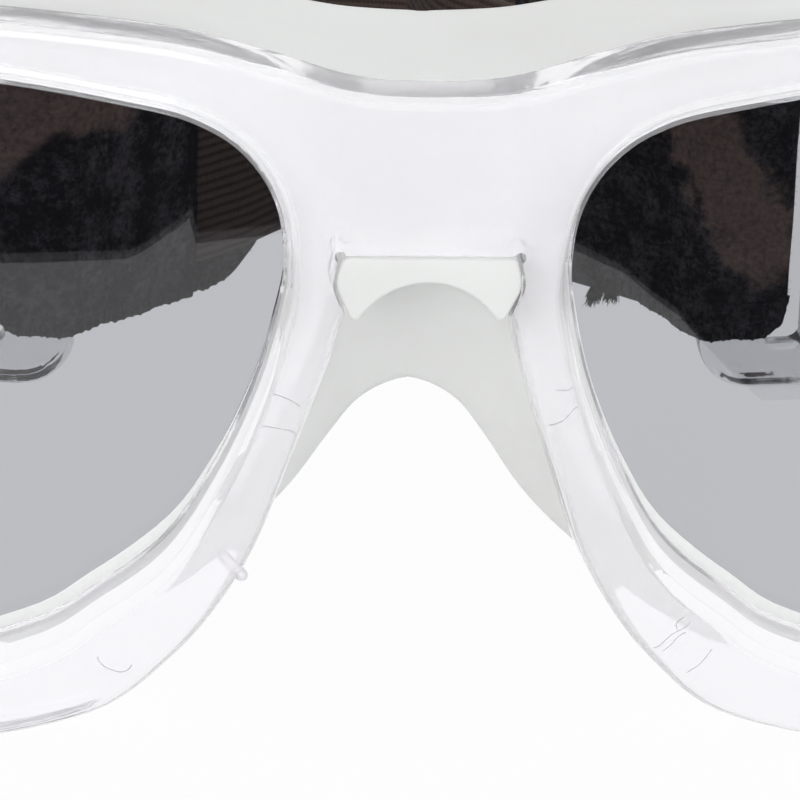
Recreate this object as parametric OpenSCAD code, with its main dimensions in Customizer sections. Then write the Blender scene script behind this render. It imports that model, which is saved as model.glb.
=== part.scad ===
/* [Frame front] */
// Width of one eye opening
eye_w = 52.6; // [48:0.2:56]
// Height of one eye opening
eye_h = 43; // [40:0.5:46]
// Distance between the two eye openings
bridge_w = 19.8; // [18:0.2:23]
// Width of the rim under the eye
rim_w = 4.9; // [4.2:0.1:5.6]
// Thickness of the moulded front
frame_t = 4.4; // [4:0.1:5.4]
// Radius of the wrap round the face, seen from above
wrap_r = 115; // [100:5:150]
// Width of the keyed notch under the bridge
notch_w = 13; // [11:0.5:13.4]
// Height of the keyed notch
notch_h = 4.9; // [4.2:0.1:5.6]

/* [Lenses] */
// Thickness of a lens
lens_t = 2; // [1.6:0.1:2.4]
// How far a lens edge reaches into the rim
lens_seat = 0.75; // [0.5:0.05:0.9]
// Play of a lens in its groove
lens_play = 0.1; // [0.05:0.05:0.2]

/* [Face liner] */
// Depth of the silicone skirt at the brow
skirt_d = 9.6; // [8:0.2:10.6]
// Width of the lip that touches the face
lip_w = 2.2; // [1.8:0.1:2.8]
// Gap between the liner and the frame
liner_gap = 0.2; // [0.15:0.05:0.3]

/* [Temples] */
// Length of a temple from the hinge to its tip
temple_l = 42.8; // [41:0.2:44]
// Thickness of a temple
temple_t = 3.4; // [3:0.1:4]
// Height of the strap loop at the tip
loop_h = 32; // [31:0.5:36]
// Width of the bar that the strap folds round
bar_w = 5; // [4.4:0.1:5.6]
// Width of the strap slot
slot_w = 2.8; // [2.6:0.1:3.4]
// Outward bow of a temple
temple_bow = 1.6; // [0.5:0.1:2]
// Radius of the rounded corners of a strap loop
loop_corner = 4; // [3:0.5:5]

/* [Hinges] */
// Radius of a hinge knuckle
knuckle_r = 3.1; // [2.8:0.1:3.4]
// Height of the knuckle on the temple
knuckle_h = 7; // [6:0.5:8]
// Height of each ear on the frame
ear_h = 3.6; // [3.2:0.1:4.2]
// Radius of the hinge screw
screw_r = 0.95; // [0.8:0.05:1.1]
// Running clearance of the screw in its bores
screw_play = 0.05; // [0.02:0.01:0.08]
// Thickness of a friction washer
washer_t = 0.4; // [0.3:0.05:0.6]

/* [Strap] */
// Width of the fabric ends
strap_w = 25; // [22:0.5:25.4]
// Width of the elastic band
elastic_w = 18.4; // [16:0.2:20]
// Thickness of the elastic band
band_t = 1.6; // [1.2:0.1:2]
// Thickness of one layer of the fabric end
tab_t = 1.2; // [1:0.1:1.3]
// Thickness of the hook patch inside the fold
patch_t = 0.6; // [0.4:0.1:0.8]
// Length of the front layer of the left fabric end
left_front_l = 9.6; // [8:0.2:12]
// Depth of the goggles from the bridge to the back of the strap
depth = 136; // [130:1:142]
// Width of the loop that the strap forms behind the front
strap_loop_w = 77; // [70:1:80]

/* [Hidden] */
$fn = 32;

// The form of one eye, row by row round the opening, from the bridge over the
// brow. Each row holds: opening x and z as shares of its width and height, the
// step to the outer edge as shares of the rim width, the step to the liner's
// rear edge in mm, the skirt depth and the lip width as shares.
eye_rows = [
    [0.000, 0.747, -2.02, -0.04, -9.9, -12.6, 0.90, 2.0],
    [0.010, 0.838, -2.12, 1.73, -10.4, 10.4, 1.00, 2.0],
    [0.044, 0.911, -1.37, 1.15, -5.2, 7.5, 0.99, 1.4],
    [0.100, 0.962, -0.76, 1.02, -2.2, 5.3, 0.97, 1.0],
    [0.192, 0.992, -0.31, 1.04, -1.0, 3.8, 0.96, 1.0],
    [0.420, 1.016, -0.06, 0.92, -0.3, 2.6, 0.90, 1.0],
    [0.724, 0.990, 0.41, 0.93, 0.0, 1.8, 0.68, 1.0],
    [0.876, 0.918, 1.18, 1.04, 0.2, 1.4, 0.50, 1.0],
    [0.971, 0.785, 1.53, 0.79, -0.9, 0.8, 0.40, 1.0],
    [1.000, 0.607, 1.33, 0.00, -1.6, 0.0, 0.39, 1.0],
    [0.944, 0.330, 1.02, -0.50, -1.6, -0.9, 0.42, 1.0],
    [0.747, 0.091, 0.47, -1.10, -0.7, -3.2, 0.52, 1.0],
    [0.534, 0.020, 0.00, -1.30, -0.5, -3.7, 0.64, 1.0],
    [0.325, 0.105, -0.70, -1.37, -2.3, -5.5, 0.76, 1.0],
    [0.230, 0.185, -1.06, -1.01, -4.0, -5.1, 0.78, 1.0],
    [0.143, 0.281, -1.10, -0.43, -5.0, -4.6, 0.80, 1.1],
    [0.080, 0.414, -1.06, 0.10, -5.7, -6.3, 0.83, 1.3],
    [0.033, 0.556, -1.02, 0.25, -6.0, -8.5, 0.86, 1.5],
    [0.010, 0.663, -1.10, 0.24, -7.2, -10.3, 0.89, 1.8]
];
row_count = len(eye_rows);
row_steps = [0, 1 / 3, 2 / 3];
bridge_steps = [0, 0.08, 0.5, 0.92];
run_count = len(bridge_steps);

sill = rim_w;
eye_mid = [bridge_w / 2 + eye_w / 2, sill + eye_h * 0.54];
outer_x = bridge_w / 2 + eye_w + rim_w * 1.33;

// Groove, lips and rounded edges of the rim
lip_front = 1.35;
groove_front = 1.7;
groove_d = lens_seat + lens_play + 0.05;
groove_rear = groove_front + lens_t + 2 * lens_play;
rear_lip = 0.25;
bevel_side = 1.1;
bevel_brow = 0.7;
bevel_sill = 2.3;
edge_r = 0.7;

function mix(a, b, t) = a + (b - a) * t;
function unit(v) = v / norm(v);
function curve_point(p0, p1, p2, p3, t) =
    p1 + (p2 - p0) * t / 2
    + (2 * p0 - 5 * p1 + 4 * p2 - p3) * t * t / 2
    + (3 * p1 - p0 - 3 * p2 + p3) * t * t * t / 2;

// Stations round the eye: [opening, outer edge, liner rear edge, shares, on the centre plane]
function row_station(k) = let (
    r = eye_rows[(k + row_count) % row_count],
    a = [bridge_w / 2 + r[0] * eye_w, sill + r[1] * eye_h]
) [a, a + rim_w * [r[2], r[3]], a + [r[4], r[5]], [r[6], r[7]]];
function beyond_centre(own, opposite) = [
    own[0], [-opposite[1][0], opposite[1][1]], [-opposite[2][0], opposite[2][1]], opposite[3]
];
function station(k, t) = let (
    before = row_station(k - 1),
    from = row_station(k),
    to = row_station(k + 1),
    after = row_station(k + 2),
    s = curve_point(
        k == 1 ? beyond_centre(before, to) : before,
        from,
        to,
        k == row_count - 1 ? beyond_centre(after, from) : after,
        t
    ),
    centre = k == 0 || (k == 1 && t == 0),
    b = k == 0 ? mix(from[1], to[1], t) : s[1],
    c = k == 0 ? mix(from[2], to[2], t) : s[2]
) [s[0], [centre ? 0 : b[0], b[1]], [centre ? 0 : c[0], c[1]], s[3], centre];
stations = [
    for (k = [0 : row_count - 1])
        for (t = k == 0 ? bridge_steps : row_steps)
            station(k, t)
];
station_count = len(stations);

// Places on the wrapped front: h is the depth behind its front surface
function wrap(p, h) = let (a = asin(p[0] / wrap_r))
    [(wrap_r - h) * sin(a), wrap_r - (wrap_r - h) * cos(a), max(0, p[1])];
function depth_at(x, h) = wrap_r - sqrt(pow(wrap_r - h, 2) - x * x);

// One closed ring round the rim's section at a station
function inside_run(i) = i > 0 && i < run_count;
function frame_ring(i) = let (
    s = stations[i],
    a = s[0],
    b = s[1],
    l = norm(b - a),
    e = (b - a) / l,
    bevel = bevel_side + bevel_brow * pow(max(0, e[1]), 2) + bevel_sill * pow(max(0, -e[1]), 1.5),
    soft = inside_run(i) ? 0 : edge_r,
    edge = s[4] && !inside_run(i) ? unit([e[0] * 0.1, e[1]]) : e
) [
    wrap(a, lip_front),
    wrap(a + e * bevel, 0),
    wrap(a + e * (bevel + l - edge_r) / 2, 0),
    wrap(b - edge * edge_r, 0),
    wrap(b - edge * edge_r * 0.3, soft * 0.3),
    wrap(b, soft),
    wrap(b, frame_t - soft),
    wrap(b - edge * edge_r * 0.3, frame_t - soft * 0.3),
    wrap(b - edge * edge_r, frame_t),
    wrap(mix(a, b, 0.5), frame_t),
    wrap(a + e * (rear_lip + 0.35), frame_t),
    wrap(a + e * rear_lip, frame_t - 0.25),
    wrap(a + e * rear_lip, groove_rear),
    wrap(a + e * groove_d, groove_rear),
    wrap(a + e * groove_d, groove_front),
    wrap(a, groove_front)
];
frame_wall = [5, 6];

// One closed ring round the skirt's section at a station
foot_in = 0.5;
foot_out = 1.0;
function liner_ring(i) = let (
    s = stations[i],
    a = s[0],
    b = s[1],
    c = s[2],
    e = unit(b - a),
    inward = unit(eye_mid - c),
    d = c + inward * lip_w * s[3][1],
    h = frame_t + liner_gap,
    rear = depth_at(c[0], frame_t) + skirt_d * s[3][0],
    start = wrap(a + e * foot_in, h),
    foot = wrap(b - e * (s[4] ? 0 : foot_out), h),
    lip_in = [d[0], rear - 0.5, d[1]],
    lip_out = [c[0], rear - (inside_run(i) ? 0 : 0.7), c[1]],
    waist = mix(foot, lip_out, 0.72)
) [
    start,
    mix(start, lip_in, 0.5) - [inward[0], 0, inward[1]] * 0.4,
    lip_in,
    [mix(d[0], c[0], 0.3), rear, mix(d[1], c[1], 0.3)],
    [mix(d[0], c[0], 0.7), rear, mix(d[1], c[1], 0.7)],
    lip_out,
    waist - (s[4] ? [0, 0, inward[1]] : [inward[0], 0, inward[1]]) * -0.25,
    foot + [0, 0.9, 0],
    foot
];
liner_wall = [5, 8];

// A body with two eye openings from the rings of one side. Both sides share
// the points of the centre plane, and there is no wall between them. The rings
// are clockwise or not, seen along the way round the eye.
module two_eye_body(rings, wall, clockwise) {
    n = len(rings);
    m = len(rings[0]);
    function shared(i, j) = i <= run_count && j >= wall[0] && j <= wall[1]
        && (!inside_run(i) || j == wall[0] || j == wall[1]);
    function index(side, i, j) = (side == 1 && shared(i, j) ? 0 : side * n * m) + i * m + j;
    function is_open(i, j) = i < run_count && j >= wall[0] && j < wall[1];
    points = [
        for (side = [1, -1])
            for (ring = rings)
                for (p = ring)
                    [p[0] * side, p[1], p[2]]
    ];
    faces = [
        for (side = [0, 1])
            for (i = [0 : n - 1])
                for (j = [0 : m - 1])
                    if (!is_open(i, j))
                        for (half = [0, 1])
                            let (
                                i2 = (i + 1) % n,
                                j2 = (j + 1) % m,
                                p = index(side, i, j),
                                q = index(side, i2, j),
                                r = index(side, i2, j2),
                                s = index(side, i, j2),
                                tri = half == 0 ? [p, q, r] : [p, r, s]
                            )
                            (side == 0) == clockwise ? tri : [tri[2], tri[1], tri[0]]
    ];
    polyhedron(points, faces, convexity = 8);
}

// Polygon points with rounded corners, from rows of x, y and corner radius
corner_steps = 5;
function rounded(rows) = [
    for (i = [0 : len(rows) - 1])
        let (
            p = [rows[i][0], rows[i][1]],
            before = rows[(i + len(rows) - 1) % len(rows)],
            after = rows[(i + 1) % len(rows)],
            u = unit([before[0], before[1]] - p),
            v = unit([after[0], after[1]] - p),
            half = acos(max(-1, min(1, u * v))) / 2,
            r = rows[i][2],
            middle = p + unit(u + v) * r / sin(half),
            from = p + u * r / tan(half) - middle,
            turn = (u[0] * v[1] - u[1] * v[0] > 0 ? -1 : 1) * (180 - 2 * half)
        )
        for (k = [0 : corner_steps])
            let (g = turn * k / corner_steps)
            r == 0 ? p : middle + [from[0] * cos(g) - from[1] * sin(g), from[0] * sin(g) + from[1] * cos(g)]
];

// Heights that the front, the temples and the strap share
loop_mid = sill + eye_h * 0.668;
hinge_mid = loop_mid + 1;
hinge_x = outer_x - knuckle_r - 0.5;
hinge_y = depth_at(hinge_x, frame_t) + knuckle_r + 1;
bridge_bottom = sill + eye_h * 0.776;

// Extrudes a drawing of x and z backwards, from one depth to another
module through(y0, y1) {
    translate([0, y1, 0])
        rotate([90, 0, 0])
            linear_extrude(y1 - y0)
                children();
}

// Outline of the notch or of the tab that fills it, drawn smaller by a gap
notch_waist = 1.1;
module notch_outline(gap, reach) {
    half = notch_w / 2 - gap;
    polygon(rounded([
        [-half + 0.4, bridge_bottom - gap, 0.7],
        [half - 0.4, bridge_bottom - gap, 0.7],
        [half + 0.1, bridge_bottom - notch_h * 0.45, 2.2],
        [half - notch_waist, bridge_bottom - notch_h + gap, 0.3],
        [half - notch_waist, bridge_bottom - notch_h - reach, 0],
        [-half + notch_waist, bridge_bottom - notch_h - reach, 0],
        [-half + notch_waist, bridge_bottom - notch_h + gap, 0.3],
        [-half - 0.1, bridge_bottom - notch_h * 0.45, 2.2]
    ]));
}

relief_r = 0.4;
module notch_cut() {
    through(-1, frame_t + 1) {
        notch_outline(0, 3);
        for (side = [-1, 1])
            translate([side * (notch_w / 2 - 0.45), bridge_bottom - 0.1])
                circle(relief_r);
    }
}

ear_z = [hinge_mid - knuckle_h / 2 - washer_t - ear_h, hinge_mid + knuckle_h / 2 + washer_t];
head_r = screw_r * 1.8;
head_h = 1.2;
nut_r = screw_r * 2;
nut_h = 1.5;
ear_sink = 1.6;
module hinge_ears() {
    difference() {
        for (z = ear_z) {
            translate([hinge_x, hinge_y, z])
                cylinder(r = knuckle_r, h = ear_h);
            intersection() {
                translate([hinge_x - knuckle_r, 0, z])
                    cube([2 * knuckle_r, hinge_y, ear_h]);
                translate([0, wrap_r, z])
                    cylinder(r = wrap_r - ear_sink, h = ear_h, $fn = 96);
            }
        }
        hinge_bores();
    }
}

module hinge_bores() {
    translate([hinge_x, hinge_y, ear_z[0] - 1])
        cylinder(r = screw_r + screw_play, h = ear_z[1] + ear_h - ear_z[0] + 2);
    translate([hinge_x, hinge_y, ear_z[1] + ear_h - head_h])
        cylinder(r = head_r + 0.1, h = head_h + 1);
    translate([hinge_x, hinge_y, ear_z[0] - 1])
        cylinder(r = nut_r + 0.08, h = nut_h + 1, $fn = 6);
}

module both_sides() {
    children();
    mirror([1, 0, 0]) children();
}

// The clear front: lofted rims, keyed notch, hinge ears and a flat under each rim
module frame_front() {
    color([0.92, 0.92, 0.98, 0.5])
        union() {
            difference() {
                two_eye_body([for (i = [0 : station_count - 1]) frame_ring(i)], frame_wall, false);
                notch_cut();
            }
            both_sides() hinge_ears();
        }
}

// The wedge that cuts a lens to its outline, with edges square to the wrap. Its
// four rings lie before the lens, on both groove walls and behind the lens.
wedge_y = [-2, wrap_r / 3];
function on_plane(p, y) = [(wrap_r - y) * tan(asin(p[0] / wrap_r)), y, p[1]];
module lens_wedge() {
    n = station_count;
    edge = [for (s = stations) s[0] + unit(s[1] - s[0]) * lens_seat];
    polyhedron(
        [
            for (p = edge) on_plane(p, wedge_y[0]),
            for (p = edge) wrap(p, groove_front),
            for (p = edge) wrap(p, groove_rear),
            for (p = edge) on_plane(p, wedge_y[1])
        ],
        [
            [for (i = [n - 1 : -1 : 0]) i],
            for (ring = [0 : 2])
                for (i = [0 : n - 1])
                    for (half = [0, 1])
                        let (
                            here = ring * n + i,
                            next = ring * n + (i + 1) % n
                        )
                        half == 0 ? [here, next, next + n] : [here, next + n, here + n],
            [for (i = [0 : n - 1]) 3 * n + i]
        ],
        convexity = 4
    );
}

// One tinted lens, bent on the same wrap as the front
module lens() {
    h = groove_front + lens_play;
    color([0.55, 0.56, 0.6, 0.6])
        intersection() {
            translate([0, wrap_r, 0])
                difference() {
                    cylinder(r = wrap_r - h, h = sill + eye_h + 5, $fn = 96);
                    translate([0, 0, -1])
                        cylinder(r = wrap_r - h - lens_t, h = sill + eye_h + 7, $fn = 96);
                }
            lens_wedge();
        }
}

// Room that the skirt leaves for the hinge ears and the knuckle between them
ear_room = 0.4;
module hinge_room() {
    translate([hinge_x - knuckle_r - ear_room, 0, ear_z[0] - ear_room])
        cube([2 * knuckle_r + 2, hinge_y, ear_z[1] + ear_h - ear_z[0] + 2 * ear_room]);
}

// The silicone liner: lofted skirt and the keyed tab that fills the notch
tab_arch = 4.6;
module face_liner() {
    color([0.87, 0.88, 0.87])
        union() {
            difference() {
                two_eye_body([for (i = [0 : station_count - 1]) liner_ring(i)], liner_wall, true);
                both_sides() hinge_room();
            }
            through(0.3, frame_t + 1.2)
                difference() {
                    notch_outline(liner_gap, 0);
                    translate([0, bridge_bottom - 2 - tab_arch])
                        circle(tab_arch);
                }
        }
}

// Plan of a temple: a bowed strip from the hinge to the tip, along its length
plan_steps = 12;
function bow_at(s) = temple_bow * sin(180 * s);
module temple_plan() {
    polygon([
        for (k = [0 : plan_steps])
            [hinge_x - temple_l * k / plan_steps, hinge_y + bow_at(k / plan_steps) - temple_t / 2],
        for (k = [plan_steps : -1 : 0])
            [hinge_x - temple_l * k / plan_steps, hinge_y + bow_at(k / plan_steps) + temple_t / 2]
    ]);
}

tip_x = hinge_x - temple_l;
loop_end_x = tip_x + bar_w + slot_w + 8;
neck_x = hinge_x - knuckle_r - 2.4;
neck_h = knuckle_h / 2 - 0.05;
neck_r = 1.2;
shoulder_x = neck_x - 3.6;
shoulder_h = loop_h * 0.265;
shoulder_r = 4;
flank_r = 8;
module temple_side() {
    difference() {
        polygon(rounded([
            [hinge_x, hinge_mid - neck_h, 0],
            [neck_x, hinge_mid - neck_h, neck_r],
            [shoulder_x, loop_mid - shoulder_h, shoulder_r],
            [loop_end_x, loop_mid - loop_h / 2, flank_r],
            [tip_x, loop_mid - loop_h / 2, loop_corner],
            [tip_x, loop_mid + loop_h / 2, loop_corner],
            [loop_end_x, loop_mid + loop_h / 2, flank_r],
            [shoulder_x, loop_mid + shoulder_h, shoulder_r],
            [neck_x, hinge_mid + neck_h, neck_r],
            [hinge_x, hinge_mid + neck_h, 0]
        ]));
        slot_outline();
    }
}

slot_x = tip_x + bar_w;
slot_r = 0.8;
slot_room = 0.6;
module slot_outline() {
    half = strap_w / 2 + slot_room;
    polygon(rounded([
        [slot_x, loop_mid - half, slot_r],
        [slot_x + slot_w, loop_mid - half, slot_r],
        [slot_x + slot_w, loop_mid + half, slot_r],
        [slot_x, loop_mid + half, slot_r]
    ]));
}

// One clear temple with its knuckle and the loop for the strap
module temple() {
    color([0.92, 0.92, 0.98, 0.5])
        difference() {
            union() {
                intersection() {
                    linear_extrude(2 * loop_mid) temple_plan();
                    through(0, 2 * hinge_y) temple_side();
                }
                translate([hinge_x, hinge_y, hinge_mid - knuckle_h / 2])
                    cylinder(r = knuckle_r, h = knuckle_h);
            }
            translate([hinge_x, hinge_y, 0])
                cylinder(r = screw_r + screw_play, h = 2 * loop_mid);
        }
}

slot_key_w = 0.5;
module hinge_screw() {
    top = ear_z[1] + ear_h;
    color([0.75, 0.76, 0.78])
        translate([hinge_x, hinge_y, 0])
            difference() {
                union() {
                    translate([0, 0, ear_z[0] + 0.3])
                        cylinder(r = screw_r, h = top - head_h - ear_z[0] - 0.2);
                    translate([0, 0, top - head_h + 0.05])
                        cylinder(r = head_r, h = head_h - 0.25);
                }
                translate([-head_r - 1, -slot_key_w / 2, top - 0.8])
                    cube([2 * head_r + 2, slot_key_w, 2]);
            }
}

module hinge_nut() {
    color([0.8, 0.7, 0.4])
        translate([hinge_x, hinge_y, ear_z[0] + 0.1])
            difference() {
                cylinder(r = nut_r, h = nut_h - 0.15, $fn = 6);
                translate([0, 0, -1])
                    cylinder(r = screw_r + screw_play, h = nut_h + 2);
            }
}

washer_play = 0.05;
module hinge_washers() {
    color([0.95, 0.95, 0.95])
        for (z = [ear_z[0] + ear_h, ear_z[1] - washer_t])
            translate([hinge_x, hinge_y, z + washer_play])
                difference() {
                    cylinder(r = knuckle_r - 0.4, h = washer_t - 2 * washer_play);
                    translate([0, 0, -1])
                        cylinder(r = screw_r + screw_play, h = washer_t + 2);
                }
}

// Plan of the strap's folded end, from the temple tip towards the middle
fold_gap = 0.15;
fold_l = 15.5;
fold_angle = 42;
tail_t = patch_t + 2 * tab_t + 0.1;
patch_room = patch_t / 2 + 0.05;
tail_start = [tip_x - tab_t - fold_gap + 0.6, hinge_y + 0.4];
function tail_point(s, w = 0) = tail_start + [
    w * sin(fold_angle) - s * cos(fold_angle),
    w * cos(fold_angle) + s * sin(fold_angle)
];
module tail_strip(from, to, front, rear) {
    polygon([
        tail_point(from, front),
        tail_point(to, front),
        tail_point(to, rear),
        tail_point(from, rear)
    ]);
}
module ring_outline(extra) {
    y0 = hinge_y - temple_t / 2 - extra;
    y1 = hinge_y + bow_at(1 - bar_w / temple_l) + temple_t / 2 + extra;
    r = extra + 0.25;
    polygon(rounded([
        [tip_x - extra, y0, r],
        [slot_x + extra, y0, r],
        [slot_x + extra, y1, r],
        [tip_x - extra, y1, r]
    ]));
}

strap_z = loop_mid - strap_w / 2;
elastic_z = loop_mid - elastic_w / 2;
fold_corner = 3;

// The fabric end, folded round the bar and back on itself, with rounded free
// corners. Its front layer can end sooner, where the elastic is sewn on.
module strap_end(front_l) {
    end_x = tail_point(fold_l, -tail_t / 2)[0];
    color([0.1, 0.1, 0.11])
        translate([0, 0, strap_z])
            difference() {
                intersection() {
                    union() {
                        linear_extrude(strap_w) ring_outline(fold_gap + tab_t);
                        linear_extrude(strap_w) tail_strip(-0.6, fold_l, -tail_t / 2, tail_t / 2);
                    }
                    through(0, wrap_r / 2)
                        polygon(rounded([
                            [end_x, 0, fold_corner],
                            [hinge_x, 0, 0],
                            [hinge_x, strap_w, 0],
                            [end_x, strap_w, fold_corner]
                        ]));
                }
                translate([0, 0, -1])
                    linear_extrude(strap_w + 2) ring_outline(fold_gap);
                translate([0, 0, -1])
                    linear_extrude(strap_w + 2) tail_strip(2, fold_l + 1, -patch_room, patch_room);
                if (front_l < fold_l)
                    translate([0, 0, -1])
                        linear_extrude(strap_w + 2) tail_strip(front_l, fold_l + 1, -tail_t, 0);
            }
}

// The hook patch that holds the fold closed
module hook_patch(front_l) {
    color([0.06, 0.06, 0.07])
        translate([0, 0, strap_z + 1.5])
            linear_extrude(strap_w - 3)
                tail_strip(2.3, front_l - 1, -patch_t / 2, patch_t / 2);
}

// Plan of the elastic band from the folded end to the back, and how far it hangs
band_gap = 0.3;
band_start = tail_point(fold_l + band_gap);
neck_y = 52;
back_y = depth - band_t / 2;
loop_shares = [
    [0.11, 0],
    [0.115, 0.096],
    [0.286, 0.192],
    [0.597, 0.27],
    [0.87, 0.397],
    [1, 0.589],
    [0.883, 0.793],
    [0.519, 0.95],
    [0, 1]
];
band_way = [
    band_start,
    band_start + [-5, 5.2],
    for (share = loop_shares) [share[0] * strap_loop_w / 2, neck_y + share[1] * (back_y - neck_y)]
];
band_steps = 3;
way_count = len(band_way);
function way_at(k) = k < 0 ? 2 * band_way[0] - band_way[1]
    : k >= way_count ? [-band_way[2 * way_count - 2 - k][0], band_way[2 * way_count - 2 - k][1]]
    : band_way[k];
half_band = [
    for (k = [0 : way_count - 2])
        for (t = [0 : 1 / band_steps : 0.99])
            curve_point(way_at(k - 1), way_at(k), way_at(k + 1), way_at(k + 2), t)
];
half_count = len(half_band);
whole_band = [
    for (i = [0 : half_count - 1]) half_band[i],
    band_way[way_count - 1],
    for (i = [half_count - 1 : -1 : 0]) [-half_band[i][0], half_band[i][1]]
];
band_count = len(whole_band);
hang_start = band_start[1] + 8;
hang_end = mix(neck_y, back_y, 0.72);
function smooth_step(x) = let (t = max(0, min(1, x))) t * t * (3 - 2 * t);
function hang_at(y) = elastic_z * smooth_step((y - hang_start) / (hang_end - hang_start));
function band_ring(i) = let (
    p = whole_band[i],
    before = whole_band[max(0, i - 1)],
    after = whole_band[min(band_count - 1, i + 1)],
    along = i == 0 || i == band_count - 1
        ? [-cos(fold_angle), i == 0 ? sin(fold_angle) : -sin(fold_angle)]
        : unit(after - before),
    across = [-along[1], along[0]] * band_t / 2,
    z = elastic_z - hang_at(p[1])
) [
    [p[0] - across[0], p[1] - across[1], z],
    [p[0] + across[0], p[1] + across[1], z],
    [p[0] + across[0], p[1] + across[1], z + elastic_w],
    [p[0] - across[0], p[1] - across[1], z + elastic_w]
];

// The elastic in front of the left fabric end, where the front layer stops
sewn_clear = 0.3;
module sewn_length() {
    translate([0, 0, elastic_z])
        linear_extrude(elastic_w)
            mirror([1, 0])
                tail_strip(
                    left_front_l + sewn_clear,
                    fold_l + band_gap + 1,
                    -patch_room - tab_t,
                    -patch_room - 0.15
                );
}

// The elastic band, hanging lower towards the back
module strap_band() {
    color([0.14, 0.12, 0.12])
        union() {
            sewn_length();
            band_loop();
        }
}

module band_loop() {
    polyhedron(
        [for (i = [0 : band_count - 1]) each band_ring(i)],
        [
            [0, 1, 2, 3],
            for (i = [0 : band_count - 2])
                for (j = [0 : 3])
                    for (half = [0, 1])
                        let (
                            p = i * 4 + j,
                            q = i * 4 + (j + 1) % 4,
                            r = p + 4,
                            s = q + 4
                        )
                        half == 0 ? [p, r, s] : [p, s, q],
            [for (j = [3 : -1 : 0]) (band_count - 1) * 4 + j]
        ],
        convexity = 8
    );
}

// The whole object stands with its footprint centred on the origin
module place(side = 1) {
    translate([0, -depth / 2, 0])
        if (side > 0) children();
        else mirror([1, 0, 0]) children();
}

place() frame_front();
place(-1) lens();  // lens_left
place() lens();  // lens_right
place() face_liner();
place(-1) temple();  // temple_left
place() temple();  // temple_right
place(-1) hinge_screw();  // hinge_screw_left
place() hinge_screw();  // hinge_screw_right
place(-1) hinge_nut();  // hinge_nut_left
place() hinge_nut();  // hinge_nut_right
place(-1) hinge_washers();  // hinge_washers_left
place() hinge_washers();  // hinge_washers_right
place(-1) strap_end(left_front_l);  // strap_end_left
place() strap_end(fold_l);  // strap_end_right
place(-1) hook_patch(left_front_l);  // hook_patch_left
place() hook_patch(fold_l);  // hook_patch_right
place() strap_band();
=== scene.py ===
import math
import random

import bmesh
import bpy
import numpy as np
from mathutils import Matrix, Vector, noise


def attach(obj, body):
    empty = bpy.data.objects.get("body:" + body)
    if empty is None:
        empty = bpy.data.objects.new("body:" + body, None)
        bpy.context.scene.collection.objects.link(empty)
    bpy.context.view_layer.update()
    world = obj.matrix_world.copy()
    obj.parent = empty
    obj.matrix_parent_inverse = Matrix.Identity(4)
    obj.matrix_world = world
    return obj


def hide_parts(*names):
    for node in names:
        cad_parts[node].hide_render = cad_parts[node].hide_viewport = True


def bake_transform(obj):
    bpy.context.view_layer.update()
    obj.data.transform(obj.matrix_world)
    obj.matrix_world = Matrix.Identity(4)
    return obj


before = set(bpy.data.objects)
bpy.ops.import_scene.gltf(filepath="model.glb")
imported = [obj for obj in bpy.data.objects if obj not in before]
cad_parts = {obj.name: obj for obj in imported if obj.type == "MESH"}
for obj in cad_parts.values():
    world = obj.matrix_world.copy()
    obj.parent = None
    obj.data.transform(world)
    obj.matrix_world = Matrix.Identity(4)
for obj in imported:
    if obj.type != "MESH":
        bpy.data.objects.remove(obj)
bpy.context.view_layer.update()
print("frame loaded")

mm = 0.001
rowShift = -68.0  # mm from the front surface at the bridge to the row's origin

# the eye form, shared by the front, the lenses and the liner
eyeForm = {
    "width": 52.6, "height": 43.0, "bridge": 19.8, "rim": 4.9, "thick": 4.4, "wrap": 115.0,
    "notchWidth": 13.0, "notchHeight": 4.9, "notchWaist": 1.1,
    "notchBelly": (0.1, 2.2), "notchShoulder": (0.4, 0.7),  # step from the side and corner radius
    "midShare": 0.54, "bridgeShare": 0.776, "bellyShare": 0.45,  # levels as shares of the opening and the notch
}

# opening x and z as shares, rim step as shares, step to the liner's rear edge in mm, skirt depth and lip width
eyeRows = [
    (0.000, 0.747, -2.02, -0.04, -9.9, -12.6, 0.90, 2.0),
    (0.010, 0.838, -2.12, 1.73, -10.4, 10.4, 1.00, 2.0),
    (0.044, 0.911, -1.37, 1.15, -5.2, 7.5, 0.99, 1.4),
    (0.100, 0.962, -0.76, 1.02, -2.2, 5.3, 0.97, 1.0),
    (0.192, 0.992, -0.31, 1.04, -1.0, 3.8, 0.96, 1.0),
    (0.420, 1.016, -0.06, 0.92, -0.3, 2.6, 0.90, 1.0),
    (0.724, 0.990, 0.41, 0.93, 0.0, 1.8, 0.68, 1.0),
    (0.876, 0.918, 1.18, 1.04, 0.2, 1.4, 0.50, 1.0),
    (0.971, 0.785, 1.53, 0.79, -0.9, 0.8, 0.40, 1.0),
    (1.000, 0.607, 1.33, 0.00, -1.6, 0.0, 0.39, 1.0),
    (0.944, 0.330, 1.02, -0.50, -1.6, -0.9, 0.42, 1.0),
    (0.747, 0.091, 0.47, -1.10, -0.7, -3.2, 0.52, 1.0),
    (0.534, 0.020, 0.00, -1.30, -0.5, -3.7, 0.64, 1.0),
    (0.325, 0.105, -0.70, -1.37, -2.3, -5.5, 0.76, 1.0),
    (0.230, 0.185, -1.06, -1.01, -4.0, -5.1, 0.78, 1.0),
    (0.143, 0.281, -1.10, -0.43, -5.0, -4.6, 0.80, 1.1),
    (0.080, 0.414, -1.06, 0.10, -5.7, -6.3, 0.83, 1.3),
    (0.033, 0.556, -1.02, 0.25, -6.0, -8.5, 0.86, 1.5),
    (0.010, 0.663, -1.10, 0.24, -7.2, -10.3, 0.89, 1.8),
]
rowCount = len(eyeRows)
sill = eyeForm["rim"]
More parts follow.
